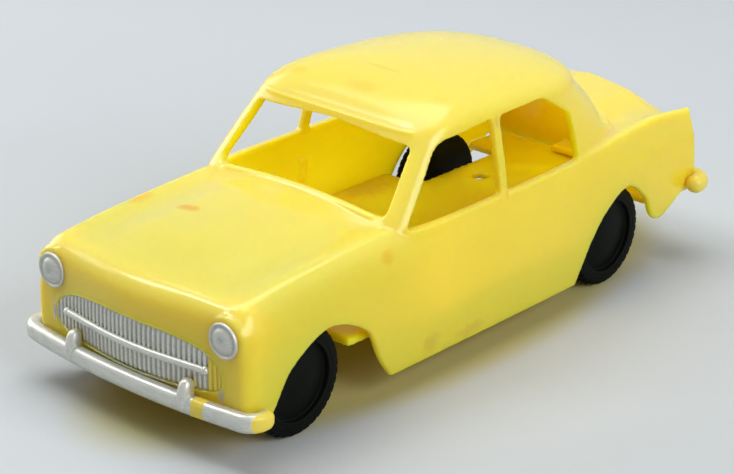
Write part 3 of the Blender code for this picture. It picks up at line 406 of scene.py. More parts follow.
def combine(target, tool, operation):
    """Joins a solid to the target or cuts it from the target, and removes the tool."""
    step = target.modifiers.new(operation, "BOOLEAN")
    step.object, step.operation, step.solver = tool, operation, "MANIFOLD"
    baked(target)
    bpy.data.objects.remove(tool)


def baked(obj):
    """Turns what an object's modifiers make of it into its own mesh."""
    bpy.context.view_layer.update()
    graph = bpy.context.evaluated_depsgraph_get()
    mesh = bpy.data.meshes.new_from_object(obj.evaluated_get(graph))
    obj.modifiers.clear()
    obj.data = mesh


def prism(name, outline, low, high, along):
    """A flat outline carried from low to high along X, Y or Z."""
    points = []
    for level in (low, high):
        points += [{"X": (level, a, b), "Y": (a, level, b), "Z": (a, b, level)}[along] for a, b in outline]
    count = len(outline)
    faces = [tuple(range(count)), tuple(range(2 * count - 1, count - 1, -1))]
    faces += [(k, (k + 1) % count, count + (k + 1) % count, count + k) for k in range(count)]
    return closed_mesh(name, points, faces)


def rounded(corners, steps=12):
    """An outline whose corners, each (a, b, radius), are rounded by arcs."""
    outline = []
    for k, (a, b, radius) in enumerate(corners):
        here = np.array((a, b))
        before = np.array(corners[k - 1][:2]) - here
        after = np.array(corners[(k + 1) % len(corners)][:2]) - here
        before /= np.linalg.norm(before)
        after /= np.linalg.norm(after)
        half = math.acos(np.clip(before @ after, -1, 1)) / 2
        centre = here + (before + after) / np.linalg.norm(before + after) * radius / math.sin(half)
        first = here + before * radius / math.tan(half) - centre
        last = here + after * radius / math.tan(half) - centre
        for t in np.linspace(0, 1, steps + 1):
            spoke = first * (1 - t) + last * t
            outline.append(tuple(centre + spoke * radius / np.linalg.norm(spoke)))
    return outline


def underside_outline():
    """The body's lower edge seen from the side: nose, front arch, sill, rear arch and tail."""
    front, rear = FRONT_AXLE_Y, REAR_AXLE_Y
    up, back = 2 * WHEEL_RADIUS - 0.0006 - NOSE_LOW_Z, 0.0161
    front_arch = through([
        (front - 0.0069, NOSE_LOW_Z), (front - 0.00345, NOSE_LOW_Z + 0.62 * up),
        (front + 0.0037, NOSE_LOW_Z + up), (front + 0.68 * back, NOSE_LOW_Z + 0.64 * up),
        (front + 0.85 * back, NOSE_LOW_Z + 0.05 * up), (front + back, SILL_Z)], 14)
    up, ahead, back = 2 * WHEEL_RADIUS + 0.0001 - SILL_Z, 0.0098, 0.0108
    rear_arch = through([
        (rear - ahead, SILL_Z), (rear - 0.71 * ahead, SILL_Z + 0.46 * up),
        (rear - 0.34 * ahead, SILL_Z + 0.80 * up), (rear + 0.0017, SILL_Z + up),
        (rear + 0.63 * back, SILL_Z + 0.74 * up), (rear + 0.0093, 0.0083),
        (rear + back, 0.0077), (rear + 0.0166, TAIL_LOW_Z)], 14)
    below = SILL_Z - 2 * WALL
    edge = [tuple(p) for p in (*front_arch, *rear_arch)]
    return [(-LENGTH, below), (-LENGTH, NOSE_LOW_Z)] + edge + [(LENGTH, TAIL_LOW_Z), (LENGTH, below)]


top, screen_top = HEADER_Z + 0.0004, HEADER_Z - 0.0006
front_window = rounded([(WINDOWS_FRONT_Y, BELT_Z, TIGHT), (PILLAR_FRONT_Y, BELT_Z, TIGHT),
                        (PILLAR_FRONT_Y + PILLAR_LEAN, top, SMALL), (-0.00975, top - 0.0006, LARGE)])
rear_window = rounded([(PILLAR_REAR_Y, BELT_Z, TIGHT), (WINDOWS_REAR_Y, BELT_Z, TIGHT),
                       (WINDOWS_REAR_Y, top - 0.0038, MEDIUM), (0.0132, top, LARGE),
                       (PILLAR_REAR_Y + PILLAR_LEAN, top, SMALL)])
windscreen = rounded([(-SCREEN_FOOT_HALF, SCREEN_FOOT_Z, SMALL), (0.0, SCREEN_FOOT_Z + SCREEN_BOW, BOWED),
                      (SCREEN_FOOT_HALF, SCREEN_FOOT_Z, SMALL), (SCREEN_TOP_HALF, screen_top, SMALL),
                      (0.0, screen_top + SCREEN_BOW, BOWED), (-SCREEN_TOP_HALF, screen_top, SMALL)])
light_foot, light_top = BELT_Z + 0.0012, HEADER_Z - 0.0028
foot_half, top_half = CABIN_HALF - 0.0030, RAIL_HALF - 0.0055
rear_light = rounded([(-foot_half, light_foot, SMALL), (0.0, light_foot + 0.0013, BOWED),
                      (foot_half, light_foot, SMALL), (top_half, light_top, ROUND),
                      (-top_half, light_top, ROUND)])
wide = 2 * DOOR_HALF
combine(body, cabin, "UNION")
combine(body, body_block("body_hollow", WALL, END_WALL, SILL_Z - 4 * WALL, 3, 60), "DIFFERENCE")
combine(body, cabin_block("cabin_hollow", WALL, BASE_TOP_Z), "DIFFERENCE")
for cut in (("front_windows", front_window, -wide, wide, "X"),
            ("rear_windows", rear_window, -wide, wide, "X"),
            ("windscreen", windscreen, NOSE_Y, DOOR_Y, "Y"),
            ("rear_light", rear_light, DOOR_Y, REAR_FOOT_Y, "Y"),
            ("underside", underside_outline(), -wide, wide, "X")):
    combine(body, prism(*cut), "DIFFERENCE")
print("cut shell:", len(body.data.polygons), "faces")

# %% [markdown]
# ## What stands on the shell
#
# The wings end in round lamp pods, and the grille sits in a shallow recess with a thin lip. A fine bead runs
# along the head and the foot of the windscreen, where a fillet leads up from the bonnet. Inside there are the
# ribs, ledges and nibs that hold the floor plate. All of this is one moulding on the real car, so it joins
# the shell before the shell is softened.

# %% Pods, recess, beads and inner fixings
LAMP_X, LAMP_Y, LAMP_Z = NOSE_HALF - 0.0040, NOSE_Y + 0.0010, BELT_Z - 0.0056
LAMP_RADIUS, LAMP_POD = 0.0024, 0.0033
GRILLE_HALF, GRILLE_Z, GRILLE_RISE, GRILLE_DROP = NOSE_HALF - 0.0043, 0.0112, 0.0046, 0.0027
GRILLE_RECESS, LIP_RADIUS, LIP_SINK = 0.0005, 0.00028, 0.00005
HEADER_BEAD, COWL_BEAD = (0.00045, 0.00045), (0.0006, 0.0005)
FILLET_HALF, FILLET_ENDS, FILLET_DEPTH = 0.0158, 0.003, 0.0006
FILLET_REACH, FILLET_SPREAD = 0.0012, 0.0022
PLATE_THICK, FIT_GAP = 0.0012, 0.0003


def turned(name, profile, sides, axis, place):
    """A profile of (radius, height) points turned round an axis, from its top to its foot."""
    angles = np.linspace(0, 2 * math.pi, sides, endpoint=False)
    rings = [[(max(r, 1e-6) * math.cos(a), max(r, 1e-6) * math.sin(a), h) for a in angles]
             for r, h in profile]
    made = skinned(name, rings)
    about, angle = {"+X": ("Y", 90), "-Y": ("X", 90)}[axis]
    made.data.transform(Matrix.Translation(place) @ Matrix.Rotation(math.radians(angle), 4, about))
    return made


def swept(name, path, section):
    """A bar: a section of (out, up) offsets carried level along a path, with round ends."""
    path = np.asarray(path, float)
    ahead = np.roll(path, -1, 0) - np.roll(path, 1, 0)
    ahead[0], ahead[-1] = path[1] - path[0], path[-1] - path[-2]
    flat = ahead[:, :2] / np.linalg.norm(ahead[:, :2], axis=1)[:, None]
    out = np.stack([flat[:, 1], -flat[:, 0], np.zeros(len(path))], axis=1)
    reach = way_along(path)
    to_end = np.minimum(reach, reach[-1] - reach)
    swell = np.sqrt(1 - (1 - np.clip(to_end / np.abs(section).max(), 0.002, 1)) ** 2)
    return skinned(name, [[p + s * (a * o + np.array((0, 0, b))) for a, b in section]
                          for p, o, s in zip(path, out, swell)])


def squircle(across, up, power, count=24):
    """The section of a bar: an ellipse, or with a higher power a box with round corners."""
    angles = np.linspace(0, 2 * math.pi, count, endpoint=False)
    turn = np.stack([np.cos(angles), np.sin(angles)], axis=1)
    return np.sign(turn) * np.abs(turn) ** (2 / power) * (across, up)


def face_y(x):
    """Where the nose panel's front lies at this distance from the centre."""
    return NOSE_Y + NOSE_BOW + bow(x, NOSE_Y + NOSE_BOW)


def mouth_edges(x):
    """Heights of the grille's mouth at this place: a flat curve below and a broad arch above."""
    share = np.clip(np.abs(x) / GRILLE_HALF, 0, 1)
    curves = ((-GRILLE_DROP, 3.5), (GRILLE_RISE, 2.6))
    return [GRILLE_Z + rise * (1 - share ** power) ** (1 / power) for rise, power in curves]


def mouth_outline(count):
    """The grille's mouth seen from the front."""
    x = GRILLE_HALF * np.sin(np.linspace(-math.pi / 2, math.pi / 2, count))
    return [(a, mouth_edges(a)[1]) for a in x] + [(a, mouth_edges(a)[0]) for a in x[-2:0:-1]]


def recess_block():
    outline = np.array(mouth_outline(60)) * (0.98, 1.0)
    rings = [[(x, 2 * NOSE_Y, z) for x, z in outline]]
    for scale in (1.0, 0.8, 0.6, 0.4, 0.2, 0.05):
        rings.append([(scale * x, face_y(scale * x) + GRILLE_RECESS, GRILLE_Z + scale * (z - GRILLE_Z))
                      for x, z in outline])
    return skinned("recess", rings)


def box_block(name, low, high):
    outline = [(low[0], low[1]), (high[0], low[1]), (high[0], high[1]), (low[0], high[1])]
    return prism(name, outline, low[2], high[2], "Z")


pod = [(LAMP_RADIUS + 0.0001, -0.0006), (LAMP_RADIUS + 0.0003, -0.0004), (LAMP_RADIUS + 0.0006, -0.0006),
       (LAMP_POD, -LAMP_POD / 3), (LAMP_POD + 0.00035, -1.1 * LAMP_POD), (LAMP_POD / 2, -2.2 * LAMP_POD)]
for side in (-1, 1):
    combine(body, turned("lamp_pod", through(pod, 5), 64, "-Y", (side * LAMP_X, LAMP_Y, LAMP_Z)), "UNION")
combine(body, recess_block(), "DIFFERENCE")

lip_line = [(x, face_y(x) + LIP_SINK, z) for x, z in mouth_outline(90)]
lip_out = [np.array((x, 2.2 * (z - GRILLE_Z))) / math.hypot(x, 2.2 * (z - GRILLE_Z)) for x, _, z in lip_line]
lip_turn = LIP_RADIUS * np.exp(1j * np.linspace(0, 2 * math.pi, 14, endpoint=False))
lip = skinned("grille_lip", [[(x + t.real * u[0], y + t.imag, z + t.real * u[1]) for t in lip_turn]
                             for (x, y, z), u in zip(lip_line, lip_out)], loop=True)
combine(body, lip, "UNION")

header = cabin_levels()[BELT_LEVELS - 1]
header_line = [(x, y + 0.00025, HEADER_Z - ROOF_TILT * (y - CROWN_Y))
               for x, y in cabin_ring(*header[1:]) if y < SCREEN_TOP_Y + 0.0008]
header_line = [(-x, y, z) for x, y, z in header_line[:0:-1]] + header_line
combine(body, swept("header_bead", evenly(header_line, 90), squircle(*HEADER_BEAD, 2)), "UNION")


def screen_foot(x, drop):
    """The windscreen's lower edge, or a line that runs below it: its place along the car and its height."""
    z = SCREEN_FOOT_Z - drop + SCREEN_BOW * (1 - (x / SCREEN_FOOT_HALF) ** 2)
    return SCREEN_FOOT_Y + (z - BELT_Z) / (HEADER_Z - BELT_Z) * (SCREEN_TOP_Y - SCREEN_FOOT_Y), z


bead_x = np.linspace(0.0012 - SCREEN_FOOT_HALF, SCREEN_FOOT_HALF - 0.0012, 60)
bead_y, bead_z = screen_foot(bead_x, 0.00025)
rounding = (1 - np.abs(bead_x / CABIN_HALF) ** SCREEN_SQUARE) ** (1 / SCREEN_SQUARE)
bead_y = CROWN_Y + (bead_y + 0.0003 - CROWN_Y) * rounding
combine(body, swept("cowl_bead", np.stack([bead_x, bead_y, bead_z], 1), squircle(*COWL_BEAD, 2)), "UNION")


def bonnet_z(x, y):
    """Height of the bonnet's skin, from the wing's crown inwards."""
    per_span, crown_point = 10, 5
    line = body_section(y, per_span)[crown_point * per_span:]
    return np.interp(abs(x), line[::-1, 0], line[::-1, 1])


fillet = []
for x in np.linspace(-FILLET_HALF, FILLET_HALF, 90):
    sill_y, sill_z = screen_foot(x, 0.0003)
    reach = FILLET_REACH + FILLET_SPREAD * np.clip((FILLET_HALF - abs(x)) / FILLET_ENDS, 0, 1)
    start = bonnet_z(x, sill_y - reach)
    slope = [(x, sill_y - reach * (1 - t), start + (sill_z - start) * t * t) for t in np.linspace(0, 1, 9)]
    fillet.append(slope + [(x, sill_y + FILLET_DEPTH, sill_z),
                           (x, sill_y + FILLET_DEPTH, bonnet_z(x, sill_y) - FILLET_DEPTH),
                           (x, sill_y - reach, start - FILLET_DEPTH)])
combine(body, skinned("cowl_fillet", fillet), "UNION")

inner, plate_low = DOOR_HALF - WALL, BASE_TOP_Z - PLATE_THICK
rib_low, rib_high = BASE_TOP_Z + FIT_GAP, BASE_TOP_Z + 0.0014
fixings = [((-0.005, NOSE_Y + 0.001, rib_low), (0.005, NOSE_Y + 0.006, rib_high)),
           ((-0.005, TAIL_Y - 0.006, rib_low), (0.005, TAIL_Y - 0.001, rib_high))]
for side in (-1, 1):
    low, high = sorted((side * (inner - 0.0012), side * (inner + WALL / 2)))
    for y in (DOOR_Y - 0.012, DOOR_Y + 0.010):
        fixings.append(((low, y - 0.0012, plate_low - 0.0015), (high, y + 0.0012, plate_low - FIT_GAP)))
    low, high = sorted((side * (inner - 0.0005), side * (inner + WALL / 2)))
    fixings.append(((low, PILLAR_FRONT_Y, rib_low), (high, PILLAR_REAR_Y, BELT_Z - 2.5 * SHOULDER_DROP)))
for low, high in fixings:
    combine(body, box_block("fixing", low, high), "UNION")
print("shell with its fixings:", len(body.data.polygons), "faces")

# %% [markdown]
# ## Softening the moulding
#
# A moulding has no knife edges: plastic draws back from every corner as it sets. A voxel remesh turns the cut
# shell into one even skin, and a few rounds of smoothing then pull every edge and every inner corner into a
# small radius, as on the real car. The voxels are a seventh of the wall's thickness, so that no wall is lost.
# The body is turned askew while it is remeshed: an edge that runs along the grid would come out in long
# steps. At the end the flat places give up most of their faces, which they don't need.

# %% Remeshed shell
VOXEL, ROUNDS, KEPT_FACES = 0.00016, 24, 0.30


def softened(obj, voxel, rounds, kept=1.0):
    """One even skin over a solid, with its edges drawn into small radii and a share of its faces kept."""
    askew = Matrix.Rotation(math.radians(37), 4, Vector((1, 2, 3)))
    obj.data.transform(askew)
    remesh = obj.modifiers.new("even skin", "REMESH")
    remesh.mode, remesh.voxel_size = "VOXEL", voxel
    relax = obj.modifiers.new("drawn edges", "SMOOTH")
    relax.factor, relax.iterations = 0.5, rounds
    if kept < 1.0:
        thin = obj.modifiers.new("fewer faces", "DECIMATE")
        thin.ratio = kept
    baked(obj)
    obj.data.transform(askew.inverted())
    obj.data.shade_smooth()
    return obj


shell = softened(body, VOXEL, ROUNDS, KEPT_FACES)
shell.name = "yellow_body_shell"
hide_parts("body_shell")
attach(shell, "car_body")
print("body shell:", len(shell.data.polygons), "faces")

# %% [markdown]
# ## Grille, lamps and bumpers
#
# These are raised parts of the same moulding, brushed over with silver paint. They are finer than the voxels,
# so each is a piece of its own that is bedded in the shell. Two numbers are stored on their points: "paint"
# says how much silver the brush left there, and "grime_and_shade" how much darker the silver gets: deeper in
# a groove, over the lamps, and towards the lower side of the bars, where it is painted shade. The finishes
# read both later.

# %% Toothed grille with its bar
GRILLE_PITCH, TOOTH_FOOT, TOOTH_DEPTH, GRILLE_BACK = 0.00082, 0.00030, 0.00032, 0.0010
GRILLE_BARE_X, GRILLE_FADE = 0.0137, 0.0010
BAR_HALF, BAR_Z, BAR_RADIUS, KNOB_RADIUS, BAR_STAND = GRILLE_HALF - 0.0028, 0.0120, 0.0005, 0.00062, 0.0001


def mark(obj, name, values):
    """Stores one number for each point of a mesh."""
    layer = obj.data.attributes.new(name, "FLOAT", "POINT")
    layer.data.foreach_set("value", np.asarray(values, np.float32))


def points_of(obj):
    co = np.empty(3 * len(obj.data.vertices))
    obj.data.vertices.foreach_get("co", co)
    return co.reshape(-1, 3)


def tooth(x):
    """How far a tooth stands out at this place across the grille, from 0 in a groove to 1."""
    share = np.mod(x / GRILLE_PITCH, 1.0)
    return np.clip(np.minimum(share - 0.02, 0.66 - share) / 0.17, 0, 1) ** 0.7


def grille():
    columns = np.linspace(-0.975 * GRILLE_HALF, 0.975 * GRILLE_HALF, 560)
    rows = np.linspace(0, 1, 17)
    front, back = [], []
    for x in columns:
        low, high = mouth_edges(x)
        for t in rows:
            relief = tooth(x) * (1 - (2 * t - 1) ** 12)
            front.append((x, face_y(x) + TOOTH_FOOT - TOOTH_DEPTH * relief, low + t * (high - low)))
            back.append((x, face_y(x) + GRILLE_BACK, low + t * (high - low)))
    n, m = len(columns), len(rows)
    faces = []
    for i in range(n - 1):
        for j in range(m - 1):
            a = i * m + j
            faces.append((a, a + 1, a + m + 1, a + m))
            faces.append((n * m + a, n * m + a + m, n * m + a + m + 1, n * m + a + 1))
    rim = [i * m for i in range(n)] + [(n - 1) * m + j for j in range(1, m)]
    rim += [i * m + m - 1 for i in range(n - 2, -1, -1)] + [j for j in range(m - 2, 0, -1)]
    for a, b in zip(rim, rim[1:] + rim[:1]):
        faces.append((a, b, n * m + b, n * m + a))
    return closed_mesh("toothed_grille", front + back, faces)


def painted(obj, paint, grime_and_shade):
    """Rides on the body and carries its two marks."""
    mark(obj, "paint", paint)
    mark(obj, "grime_and_shade", grime_and_shade)
    obj.data.shade_smooth()
    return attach(obj, "car_body")


teeth = grille()
at = points_of(teeth)
depth = np.clip((at[:, 1] - face_y(at[:, 0]) + TOOTH_DEPTH - TOOTH_FOOT) / TOOTH_DEPTH, 0, 1)
painted(teeth, np.clip((GRILLE_BARE_X - at[:, 0]) / GRILLE_FADE, 0, 1), depth)

bar_line = [(x, face_y(x) - BAR_STAND, BAR_Z) for x in np.linspace(-BAR_HALF, BAR_HALF, 120)]
bar = swept("grille_bar", bar_line, squircle(BAR_RADIUS, BAR_RADIUS, 2.2, 20))
ball = [(KNOB_RADIUS * math.sin(a), KNOB_RADIUS * math.cos(a)) for a in np.linspace(0, math.pi, 13)]
knobs = [turned("bar_knob", ball, 20, "-Y", (side * BAR_HALF, face_y(BAR_HALF) - BAR_STAND, BAR_Z))
         for side in (-1, 1)]
for piece in (bar, *knobs):
    at = points_of(piece)
    # The bar and its knobs darken towards their lower side: painted shade.
    painted(piece, np.ones(len(at)), np.clip((BAR_Z - 0.0002 - at[:, 2]) / 0.0004, 0, 0.4))
print("grille:", len(teeth.data.polygons), "faces,", round(2 * GRILLE_HALF / GRILLE_PITCH), "teeth")

# %% [markdown]
# The headlamps are shallow lenses inside a raised ring. The bumper is a bar with a flat front that wraps
# round both corners, with two upright overriders. The brush missed its ends and a patch beside the left
# overrider, where the yellow shows.

# %% Lamps, bumpers and overriders
LENS_SHARE, RING_GROOVE = 0.94, 0.0019
lens = through([(0.0, 0.00005), (0.0003, 0.0001), (0.00075, 0.00022), (0.0014, 0.0001), (0.0019, -0.0002),
                (0.0021, -0.00025), (0.00235, -0.00008), (LAMP_RADIUS + 0.00015, -0.00015),
                (LAMP_RADIUS + 0.0002, -0.0005), (0.0016, -0.0012)], 4) * (LENS_SHARE, 1.0)
for side in (-1, 1):
    lamp = turned("headlamp", lens, 64, "-Y", (side * LAMP_X, LAMP_Y, LAMP_Z))
    at = points_of(lamp)
    away = np.hypot(at[:, 0] - side * LAMP_X, at[:, 2] - LAMP_Z)
    middle, groove = np.exp(-(away / 0.0006) ** 2), np.exp(-((away - RING_GROOVE) / 0.00018) ** 2)
    painted(lamp, np.ones(len(at)), np.clip(0.4 + 0.4 * middle + 0.4 * groove, 0, 1))

BUMPER_HALF, BUMPER_SWEEP, BUMPER_WRAP, BUMPER_CORNER = NOSE_HALF + 0.0021, 0.0018, 0.0053, 0.0022
BUMPER_Z, BUMPER_DEEP, BUMPER_TALL = 0.0071, 0.0010, 0.0013
REAR_BUMPER_Z, REAR_BUMPER_RADIUS = 0.0116, 0.0014
PAINT_END_X, PAINT_FADE, MISSED_X, MISSED_HALF = 0.0214, 0.0006, 0.0131, 0.0011
OVERRIDER_X, OVERRIDER_Z, OVERRIDER_LEAN = 0.0105, 0.0083, 0.00030
OVERRIDER_WIDE, OVERRIDER_DEEP, OVERRIDER_TALL = 0.0019, 0.00235, 0.0044


def bumper_path(front, z, deep):
    """A bumper's centre line: bowed across the end, then wrapped round both corners."""
    sign = 1 if front else -1
    end_y = sign * (deep - LENGTH / 2)
    half, corner = BUMPER_HALF - deep, BUMPER_CORNER
    line = [(x, end_y + sign * BUMPER_SWEEP * (x / half) ** 2) for x in np.linspace(0, half - corner, 40)]
    x0, y0 = line[-1]
    line += [(x0 + corner * math.sin(a), y0 + sign * corner * (1 - math.cos(a)))
             for a in np.radians(range(8, 91, 6))]
    line += [(half, y) for y in np.linspace(line[-1][1], end_y + sign * BUMPER_WRAP, 12)[1:]]
    whole = [(-x, y) for x, y in line[:0:-1]] + line
    return np.array([(x, y, z) for x, y in evenly(whole, 220)])


front_bumper = swept("front_bumper", bumper_path(True, BUMPER_Z, BUMPER_DEEP),
                     squircle(BUMPER_DEEP, BUMPER_TALL, 2.6, 28))
at = points_of(front_bumper)
covered = np.clip((PAINT_END_X - np.abs(at[:, 0])) / PAINT_FADE, 0, 1)
missed = np.exp(-((at[:, 0] - MISSED_X) / MISSED_HALF) ** 4)
# The bumper darkens towards its lower edge: painted shade.
painted(front_bumper, covered * (1 - 0.95 * missed), np.clip((BUMPER_Z - 0.0004 - at[:, 2]) / 0.0012, 0, 0.5))
rear_bumper = swept("rear_bumper", bumper_path(False, REAR_BUMPER_Z, REAR_BUMPER_RADIUS),
                    squircle(REAR_BUMPER_RADIUS, REAR_BUMPER_RADIUS, 2.2, 28))
unpainted = np.zeros(len(points_of(rear_bumper)))
painted(rear_bumper, unpainted, unpainted)

levels = np.sin(np.linspace(-math.pi / 2, math.pi / 2, 31))
shares = np.maximum((1 - np.abs(levels) ** 2.6) ** (1 / 2.6), 1e-3)
guard_rings = [[(0.5 * OVERRIDER_WIDE * s * c, 0.5 * OVERRIDER_DEEP * s * d + OVERRIDER_LEAN * h,
                 0.5 * OVERRIDER_TALL * h) for c, d in squircle(1, 1, 2.3, 28)]
               for s, h in zip(shares, levels)]
guard_y = -LENGTH / 2 + BUMPER_SWEEP * (OVERRIDER_X / BUMPER_HALF) ** 2 + 0.0010
for side in (-1, 1):
    guard = skinned("overrider", guard_rings)
    guard.data.transform(Matrix.Translation((side * OVERRIDER_X, guard_y, OVERRIDER_Z)))
    at = points_of(guard)
    painted(guard, np.clip((guard_y + 0.0008 - at[:, 1]) / 0.0004, 0, 1), np.zeros(len(at)))
print("bumper:", len(front_bumper.data.polygons), "faces;", f"paint covers {np.mean(covered):.0%} of it")

# %% [markdown]
# ## Wheels, axles and floor plate
#
# Each wheel is one black moulding: a notched tread, a plain sidewall, and a dished face with a slight dome.
# It is a turned profile whose outermost points dip at every notch. The wheels take their places from the CAD
# wheels, and they ride on the axles' bodies, so they turn when the joints do. The axles are plain rods. The
# floor plate keeps its CAD shape and is only softened.

# %% Wheels on their axles
NOTCHES, NOTCH_DEPTH, RIM_RADIUS, DISH = 36, 0.00032, 0.0055, 0.0008
WHEEL_HALF, HUB_RADIUS, AXLE_RADIUS, BORE_GAP = 0.0020, 0.0015, 0.0009, 0.00004
SHARP_EDGE = math.radians(40)
PLATE_VOXEL, PLATE_ROUNDS = 0.00036, 3


def round_corners(corners, steps=5):
    """An open line whose inner corners, each (a, b, radius), are rounded."""
    line = [corners[0][:2]]
    for k in range(1, len(corners) - 1):
        here = np.array(corners[k][:2])
        before, after = np.array(corners[k - 1][:2]) - here, np.array(corners[k + 1][:2]) - here
        radius = min(corners[k][2], 0.45 * np.linalg.norm(before), 0.45 * np.linalg.norm(after))
        first = here + radius * before / np.linalg.norm(before)
        last = here + radius * after / np.linalg.norm(after)
        for t in np.linspace(0, 1, steps + 1):
            line.append(tuple((1 - t) ** 2 * first + 2 * t * (1 - t) * here + t * t * last))
    return line + [corners[-1][:2]]


def crisp(obj):
    """Smooth shading that keeps the sharp edges."""
    obj.data.shade_smooth()
    obj.data.set_sharp_from_angle(angle=SHARP_EDGE)
    return obj


def wheel(node, side):
    low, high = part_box(node)
    half, r = WHEEL_HALF, RIM_RADIUS
    face_x = high.x if side > 0 else -low.x
    foot, bore = (high.x - low.x) - half, AXLE_RADIUS + BORE_GAP
    face = through([(0.0, half - 0.28 * DISH), (0.3 * r, half - 0.36 * DISH), (0.6 * r, half - 0.62 * DISH),
                    (0.92 * r, half - DISH)], 5)
    rest = round_corners([(0.92 * r, half - DISH, 0), (0.995 * r, half - 0.98 * DISH, 0.0002),
                          (r, half - 0.1 * DISH, 0.0002), (1.035 * r, half, 0.0001),
                          (1.09 * r, half - 0.00008, 0.0001), (1.13 * r, half - 0.00002, 0.0002),
                          (WHEEL_RADIUS - 0.0004, half - 0.00012, 0.0002),
                          (WHEEL_RADIUS, half - 0.0006, 0.0003), (WHEEL_RADIUS, 0.0006 - half, 0.0003),
                          (WHEEL_RADIUS - 0.0005, -half, 0.0003), (HUB_RADIUS, -half, 0.0001),
                          (HUB_RADIUS, -foot, 0.0002), (bore, -foot, 0.0001), (bore, -foot + 0.0006, 0)])
    angles = np.linspace(0, 2 * math.pi, NOTCHES * 8, endpoint=False)
    share = np.mod(angles * NOTCHES / (2 * math.pi), 1.0)
    notch = NOTCH_DEPTH * np.clip(1 - np.abs(share - 0.87) / 0.27, 0, 1) ** 0.8
    rings = []
    for radius, height in [tuple(p) for p in face] + rest[1:]:
        grip = np.clip((radius - 0.90 * WHEEL_RADIUS) / (0.08 * WHEEL_RADIUS), 0, 1)
        reach = np.maximum(radius - grip * notch, 1e-6)
        level = np.full(len(angles), height)
        rings.append(np.stack([reach * np.cos(angles), reach * np.sin(angles), level], 1))
    made = skinned(node.replace("_wheel", "_black_wheel"), rings)
    place = (side * (face_x - half), (low.y + high.y) / 2, (low.z + high.z) / 2)
    made.data.transform(Matrix.Translation(place) @ Matrix.Rotation(math.radians(90 * side), 4, "Y"))
    return crisp(made)


wheels = []
for end in ("front", "rear"):
    for side, hand in ((1, "left"), (-1, "right")):
        node = f"{end}_{hand}_wheel"
        wheels.append(wheel(node, side))
        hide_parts(node)
        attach(wheels[-1], f"{end}_wheelset")
axles = []
for end in ("front", "rear"):
    low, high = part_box(f"{end}_axle")
    rod = round_corners([(0.0, high.x, 0), (AXLE_RADIUS, high.x, 0.0002), (AXLE_RADIUS, low.x, 0.0002),
                         (0.0, low.x, 0)])
    place = (0, (low.y + high.y) / 2, (low.z + high.z) / 2)
    axles.append(crisp(turned(f"{end}_steel_axle", rod, 40, "+X", place)))
    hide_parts(f"{end}_axle")
    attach(axles[-1], f"{end}_wheelset")

plate = bpy.data.objects.new("floor_plate", frame["nodes"]["base_plate"].data.copy())
scene.collection.objects.link(plate)
weld = plate.modifiers.new("joined faces", "WELD")
weld.merge_threshold = 1e-6
softened(plate, PLATE_VOXEL, PLATE_ROUNDS)
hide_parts("base_plate")
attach(plate, "car_body")
print("wheels:", [len(w.data.polygons) for w in wheels], "faces; floor plate:", len(plate.data.polygons))

# %% [markdown]
# ## Shared effects for the finishes
#
# Five small node groups serve several finishes: the unevenness of moulded plastic, a soft stain at one place,
# fine scuffs, ragged cover of paint, and a mask for faces that look inwards or up, which get painted light.
# Each gives only masks and heights, and the materials turn these into colour, gloss and relief. They read the
# object's own coordinates, so the marks stay on the car when it moves.

# %% Node groups
def new_group(name, ins, outs):
    """An empty node group with its sockets."""
    group = bpy.data.node_groups.new(name, "ShaderNodeTree")
    for socket, kind, value in ins:
        made = group.interface.new_socket(socket, in_out="INPUT", socket_type=kind)
        made.default_value = value
    for socket in outs:
        group.interface.new_socket(socket, in_out="OUTPUT", socket_type="NodeSocketFloat")
    return group, group.nodes.new("NodeGroupInput"), group.nodes.new("NodeGroupOutput")


def connect(node, **links):
    """Gives each named input a value or another node's socket; i0, i1 and so on are inputs by number."""
    for key, value in links.items():
        numbered = key[0] == "i" and key[1:].isdigit()
        socket = node.inputs[int(key[1:]) if numbered else key.replace("_", " ")]
        if isinstance(value, bpy.types.NodeSocket):
            node.id_data.links.new(value, socket)
        else:
            socket.default_value = value


def add_node(tree, kind, settings=None, **links):
    """A node with its settings and its inputs."""
    made = tree.nodes.new(kind)
    for key, value in (settings or {}).items():
        setattr(made, key, value)
    connect(made, **links)
    return made


def own_place(tree):
    return add_node(tree, "ShaderNodeTexCoord").outputs["Object"]


def maths(tree, operation, a, b):
    return add_node(tree, "ShaderNodeMath", {"operation": operation}, i0=a, i1=b).outputs[0]


def vectors(tree, operation, a, b=(0, 0, 0)):
    """Maths with vectors; a length or a dot product comes out as one number."""
    made = add_node(tree, "ShaderNodeVectorMath", {"operation": operation}, i0=a, i1=b)
    return made.outputs["Value" if operation in ("LENGTH", "DOT_PRODUCT") else "Vector"]


def noise(tree, place, scale, detail=2.0, rough=0.5, stretch=None):
    """Soft random values over an object; a stretch draws them out along an axis."""
    if stretch:
        place = vectors(tree, "MULTIPLY", place, stretch)
    return add_node(tree, "ShaderNodeTexNoise", None, Vector=place, Scale=scale, Detail=detail,
                    Roughness=rough).outputs["Fac"]


def ramp(tree, value, low, high):
    """Maps a value to 0 at low and 1 at high, with soft ends."""
    return add_node(tree, "ShaderNodeMapRange", {"interpolation_type": "SMOOTHSTEP"}, Value=value,
                    From_Min=low, From_Max=high).outputs["Result"]


skin, _, out = new_group("moulded_unevenness", [], ["Tone", "Haze", "Grain"])
place = own_place(skin)
connect(out, Tone=ramp(skin, noise(skin, place, 55, 3), 0.3, 0.7),
        Haze=ramp(skin, noise(skin, place, 240, 4, 0.6), 0.35, 0.7), Grain=noise(skin, place, 2600, 3, 0.6))

